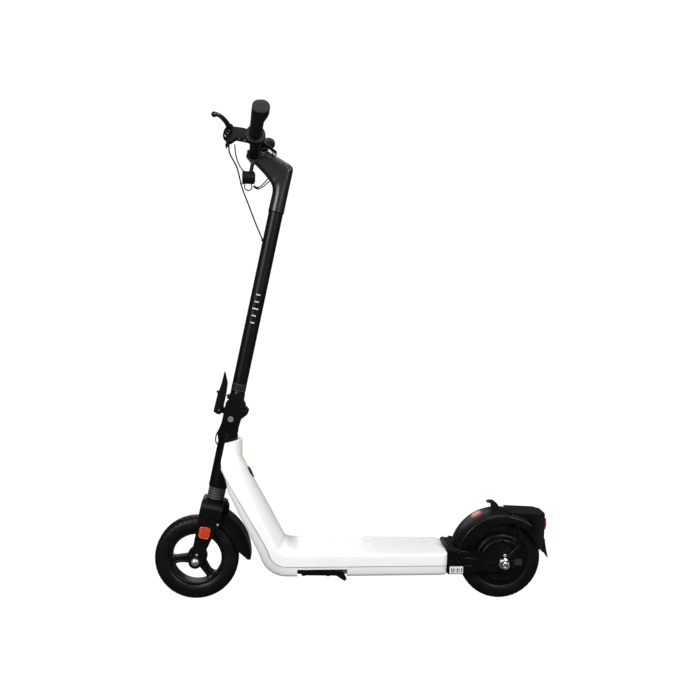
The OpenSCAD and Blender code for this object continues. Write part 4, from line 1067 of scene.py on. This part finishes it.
def barPath(side, steps=60):
    points = [(clampU, 0, clampW), (clampU, 16, clampW + 0.5), (clampU, 27, clampW + 2),
              (clampU + 1, 46, clampW + 11.5), barBend + (0, -8, -3.8), barBend + (-0.4, 8, 2.3),
              barBend * 0.5 + barEnd * 0.5, barEnd]
    path = smoothCurve(points, steps)
    return steer(path[:, 0], side * path[:, 1], path[:, 2])


def barFrame(side):
    # origin at the bend, unit vectors forward, down and outward along the grip
    start, end = (steer(p[0], side * p[1], p[2]) for p in (barBend, barEnd))
    out = (end - start) / np.linalg.norm(end - start)
    ahead = steer(1, 0, 0) - steer(0, 0, 0)
    ahead = ahead - out * (ahead @ out)
    ahead /= np.linalg.norm(ahead)
    down = np.cross(out, ahead) * side
    return start, ahead, down, out, np.linalg.norm(end - start)


def onBar(side, x, y, s):  # x forward, y down, s outward from the bend
    start, ahead, down, out, run = barFrame(side)
    x, y, s = (np.asarray(v, float)[..., None] for v in np.broadcast_arrays(x, y, s))
    return start + ahead * x + down * y + out * s


def makeBar():
    for side in (-1, 1):
        path = barPath(side)
        obj = pipe(f"bar_{side + 1}", path, 11, 32, (1, 0, 0))
        settle(obj, "stem", "black_alloy", *(["handlebar"] if side > 0 else []))


grip = dict(length=128, r=15.5, wing=7.5, past=1.5)


def makeGrips():
    for side in (-1, 1):
        run = barFrame(side)[4]
        s0, s1 = run - grip["length"], run + grip["past"]
        f = np.linspace(0, 1, 90)[:, None]
        t = circle(72)[None]
        # the palm wing swells rearwards and slightly down towards the outer end
        swell = np.clip((f - 0.45) / 0.4, 0, 1)
        swell = swell ** 2 * (3 - 2 * swell)
        lobe = np.clip(np.cos(t - np.pi - 0.25), 0, 1) ** 1.6
        r = grip["r"] * (0.93 + 0.03 * np.sin(np.pi * f) ** 2 + 0.07 * swell) + grip["wing"] * swell * lobe
        ribs = 0.35 * (np.abs((f * 26) % 1 - 0.5) * 2 > 0.42) * (f < 0.5) * (f > 0.06)
        r = r - ribs
        r = r * np.where(f < 0.015, 0.96, 1)
        grid = onBar(side, r * np.cos(t), r * np.sin(t), s0 + (s1 - s0) * f)
        grid = rolledEnds(grid, 1.6, 0.09)
        settle(skin(f"grip_{side + 1}", grid), "stem", "grip_rubber", *(["grips"] if side > 0 else []),
               sharp=50)
        # end cap with a small centre hole
        rows = []
        for shrink, lift in ((0.93, 0.2), (0.9, 1.5), (0.84, 1.9), (0.5, 2), (0.11, 2), (0.1, 0.2),
                             (0.02, 0.1)):
            rows.append(onBar(side, r[-1] * np.cos(t[0]) * shrink, r[-1] * np.sin(t[0]) * shrink, s1 + lift))
        settle(skin(f"grip_cap_{side + 1}", np.stack(rows)), "stem", "cap_rubber")
        flange = [(s0 - 3.8, 12), (s0 - 3.8, 21), (s0 - 3, 22.4), (s0 - 0.6, 22.4), (s0 + 0.2, 21),
                  (s0 + 0.2, 12)]
        centre, ahead, down, out, _ = barFrame(side)
        lathe(f"grip_flange_{side + 1}", "stem", "black_plastic", flange, centre, out, 48, closed=True)


def makeLever():
    # a flat blade with rounded edges that narrows, then hooks forward to a ball
    spine = np.array([(60, 0, 24, 6.2, 5.2), (61.5, 0.2, 38, 6, 4.6), (65, 0.3, 52, 5.8, 4.2),
                      (71, 0.3, 65, 5.6, 4), (78.5, 0.2, 76, 5.4, 3.9), (86, 0, 81.5, 5.2, 4),
                      (91.5, 0, 82, 5, 4.3), (95, 0, 79, 4.6, 4.4)])
    fine = smoothCurve(spine, 48)
    run = np.gradient(fine[:, [0, 2]], axis=0)
    run /= np.linalg.norm(run, axis=1)[:, None]
    t = circle(28)[None]
    a, b = bulge(np.cos(t), 0.7), bulge(np.sin(t), 0.7)
    deep, high = fine[:, 3][:, None] * a, fine[:, 4][:, None] * b
    x = fine[:, 0][:, None] + deep * run[:, 1][:, None]
    s = fine[:, 2][:, None] - deep * run[:, 0][:, None]
    obj = skin("lever_blade", onBar(1, x, fine[:, 1][:, None] + high, s))
    settle(obj, "brake_lever", "neck_alloy", "brake_lever", sharp=50)
    ball = onBar(1, 95, 0, 79)
    half = np.linspace(-np.pi / 2, np.pi / 2, 17)
    lathe("lever_ball", "brake_lever", "black_alloy",
          np.stack([6.4 * np.sin(half), np.maximum(6.4 * np.cos(half), pole)], 1), ball, (0, 0, 1), 32)
    down = barFrame(1)[2]
    pin = [(-12.2, pole), (-12.2, 3.6), (-11, 4), (11, 4), (12.2, 3.6), (12.2, pole)]
    lathe("lever_pin", "stem", "steel", pin, onBar(1, 60, 0, 28), down, 20)
    # rounded reservoir-like body of the perch: a squared-off ellipsoid
    t, f = np.meshgrid(circle(48), np.linspace(-np.pi / 2, np.pi / 2, 25)[1:-1])
    x = 56.5 + 15.5 * bulge(np.cos(f), 0.7) * bulge(np.cos(t), 0.75)
    y = 5 + 17.5 * bulge(np.cos(f), 0.7) * bulge(np.sin(t), 0.75)
    settle(skin("perch_body", onBar(1, x, y, 11.5 + 9.5 * bulge(np.sin(f), 0.6))), "stem", "black_gloss",
           sharp=60)
    # cable adjuster under the perch, and the clamp's two screws
    barrel = [(0, 4.2), (4, 4.2), (4.4, 3.4), (9, 3.4), (9.4, 4), (12, 4), (12.4, 2.2), (17, 2), (17, pole)]
    lathe("cable_adjuster", "stem", "black_alloy", barrel, onBar(1, 57, 24, 15), down, 24)
    for k, (x, s) in enumerate(((22, 12), (34, 17), (46, 11), (20, 19))):
        head = [(0, 3), (2, 3), (2.5, 2.4), (2.5, 1.4), (1, 1.3), (1, pole)]
        lathe(f"perch_screw_{k}", "stem", "steel", head, onBar(1, x, 11.5 if k != 2 else 14.5, s), down, 16)


def makeLamp():
    # lamp barrel with fins, a bezel and a bright bowl behind the lens
    centre = steer(81, 0, neckW + 65.6)
    ahead = (1, 0, 0)
    body = [(-16, pole), (-16, 9), (-14.6, 11), (-13, 12.8), (-11, 13.2), (-11, 15.2), (-9.4, 15.2),
            (-9.4, 13.4), (-7.4, 13.4), (-7.4, 15.4), (-5.8, 15.4), (-5.8, 13.6), (-3.8, 13.6),
            (-3.8, 15.6), (-2.2, 15.6), (-2.2, 14.4), (7, 14.6), (8, 16), (13, 16), (14, 15), (14, 13),
            (7.5, 12.6), (3, 8), (1.5, 3.4), (1.5, pole)]
    lathe("lamp_body", "stem", "black_plastic", body, centre, ahead, 64)
    bowl = [(7.4, 12.5), (3.4, 7.8), (2, 3.4), (4, 3.2), (4.4, pole)]
    lathe("lamp_bowl", "stem", "chrome", [(1.6, pole), (1.6, 3.3), (3, 7.9), (7.2, 12.55), *bowl], centre,
          ahead, 48)
    lens = [(9.6, pole), (9.6, 12.8), (11.4, 12.8), (12.8, 9), (13.4, 4), (13.5, pole)]
    lathe("lamp_lens", "stem", "clear_lens", lens, centre, ahead, 48, stands="headlight_lens")


def makeDisplay():
    s, c = math.sin(math.radians(-24)), math.cos(math.radians(-24))
    middle = np.array([49, neckW + 144])

    def onPanel(a, n, b):
        return steer(middle[0] + a * c + n * s, b, middle[1] - a * s + n * c)
    screen = rounded([(-8, -19), (20, -19), (20, 19), (-8, 19)], 4)
    settle(slab("screen_glass", screen, 3.3, 3.9, onPanel, 0.3), "stem", "black_gloss")
    for k in range(5):
        bar = rounded([(14, -13 + 6 * k), (16.5, -13 + 6 * k), (16.5, -9.5 + 6 * k), (14, -9.5 + 6 * k)],
                      0.6, 2)
        settle(slab(f"screen_bar_{k}", bar, 3.88, 4.0, onPanel, 0.03), "stem", "mark_print")
    t = np.linspace(0, 2 * np.pi, 33)
    normal = onPanel(0, 1, 0) - onPanel(0, 0, 0)
    ring = onPanel(4 + 6.5 * np.cos(t), np.full_like(t, 3.95), 6.5 * np.sin(t))
    settle(pipe("screen_dial", ring, 0.45, 6, normal), "stem", "mark_print")
    ring = onPanel(-16 + 6.4 * np.cos(t), np.full_like(t, 3.6), 6.4 * np.sin(t))
    settle(pipe("button_ring", ring, 0.5, 6, normal), "stem", "alloy")
    stalk = [steer(*p) for p in ((60, 0, neckW + 133), (62, 0, neckW + 128), (66, 0, neckW + 122))]
    settle(pipe("display_stalk", smoothCurve(stalk, 8), 5, 16), "stem", "black_plastic")


# cable routes as (u, y, w above the neck's foot), the same points as the CAD cords
brakeRoute = [(133, 84, 119), (127, 79, 100), (107, 60, 76), (92, 38, 44), (83, 16, 27), (68, 5, 4),
              (45, 0, -32), (25, 0, -61), (16.5, 0, -73)]
lampRoutes = [[(120, 84, 122), (113, 74, 100), (104, 52, 84), (89.5, 14, 71.5)],
              [(64, 5, 50), (55, 5, 47), (45, 4, 56), (34, 3, 74)],
              [(66, -5, 48), (54, -5, 45), (42, -4, 54), (30, -3, 70)],
              [(86, 8, 52), (83, 9, 38), (73, 8, 35), (68, 7, 44), (72, 6, 54)]]
paddleRoute = [(40, -96, 146), (34, -92, 139), (38, -84, 134), (46, -70, 131), (56, -52, 129),
               (58, -34, 126), (52, -18, 128)]
barRoute = [(74, 30, 130), (60, 36, 134), (50, 26, 139), (52, 14, 138)]
loopRoute = [(24, 4, 44), (27.5, 4, 36), (29.5, 4, 24), (27, 4, 12), (21.5, 4, 6)]


def makeCables():
    def raised(points, base):
        return [steer(p[0], p[1], p[2] + base) for p in points]
    settle(sideCable("brake_line", raised(brakeRoute, neckW), 1.7, 60), "stem", "black_rubber", "brake_cable")
    for k, route in enumerate(lampRoutes):
        settle(sideCable(f"lamp_line_{k}", raised(route, neckW), 1.4, 36), "stem", "black_rubber",
               *(["lamp_wires"] if k == 0 else []))
    settle(sideCable("paddle_line", raised(paddleRoute, neckW), 1.4, 44), "stem", "black_rubber")
    settle(sideCable("bar_line", raised(barRoute, neckW), 1.4, 30), "stem", "black_rubber")
    settle(sideCable("hinge_line", raised(loopRoute, headW1), 1.5, 36), "steering", "black_rubber",
           "loop_cable")
    eye = [(-4, pole), (-4, 1.6), (-3, 3), (1.6, 3.4), (2.2, 2.6), (2.2, pole)]
    ahead = steer(0.7, 0, 0.7) - steer(0, 0, 0)
    lathe("stem_grommet", "stem", "black_rubber", eye, steer(18, 0, neckW - 71.5), ahead, 20)
    for k, (u, y, w) in enumerate(((92, 38, 44), (55, 5, 47))):
        tie = [(-1.5, 2.3), (1.5, 2.3), (1.5, 1.2), (-1.5, 1.2)]
        lathe(f"cable_tie_{k}", "stem", "black_plastic", tie, steer(u, y, neckW + w), (0.3, 0.5, 0.8), 16,
              closed=True)


makeNeck()
makeBar()
makeGrips()
makeLever()
makeLamp()
makeDisplay()
makeCables()
print("controls made")


# ---- studio ----
def twoFaced(tree, plainShader, glow, out):  # white to the camera, plain to every other ray
    path = tree.nodes.new("ShaderNodeLightPath")
    mixed = tree.nodes.new("ShaderNodeMixShader")
    tree.links.new(path.outputs["Is Camera Ray"], mixed.inputs[0])
    tree.links.new(plainShader.outputs[0], mixed.inputs[1])
    tree.links.new(glow.outputs[0], mixed.inputs[2])
    tree.links.new(mixed.outputs[0], out.inputs["Surface"])


def makeStudio(s):
    far, low = s["floor"], -0.2
    corners = [(-far, -far, low), (far, -far, low), (far, far, low), (-far, far, low)]
    ground = solid("floor", corners, [(0, 1, 2, 3)])
    paint = Paint("floor paint", (0.12, 0.12, 0.12), 0.9, spec=0)
    glow = paint.tree.nodes.new("ShaderNodeEmission")
    glow.inputs["Strength"].default_value = s["backdrop"]
    twoFaced(paint.tree, paint.shader, glow, paint.tree.nodes["Material Output"])
    ground.data.materials.append(paint.material)
    world = bpy.data.worlds.new("studio")
    bpy.context.scene.world = world
    bpy.context.scene.view_settings.view_transform = "Standard"
    world.use_nodes = True
    sky = world.node_tree.nodes["Background"]
    sky.inputs["Color"].default_value = (1, 1, 1, 1)
    sky.inputs["Strength"].default_value = s["sky"]
    glow = world.node_tree.nodes.new("ShaderNodeBackground")
    glow.inputs["Color"].default_value = (1, 1, 1, 1)
    glow.inputs["Strength"].default_value = s["backdrop"]
    twoFaced(world.node_tree, sky, glow, world.node_tree.nodes["World Output"])
    for name, (place, size, power) in s["lamps"].items():
        lamp = bpy.data.lights.new(name, "AREA")
        lamp.energy = power
        lamp.size = size
        obj = linked(name, lamp)
        obj.location = place
        obj.rotation_euler = (Vector(s["aim"]) - obj.location).to_track_quat("-Z", "Y").to_euler()


makeStudio(studio)
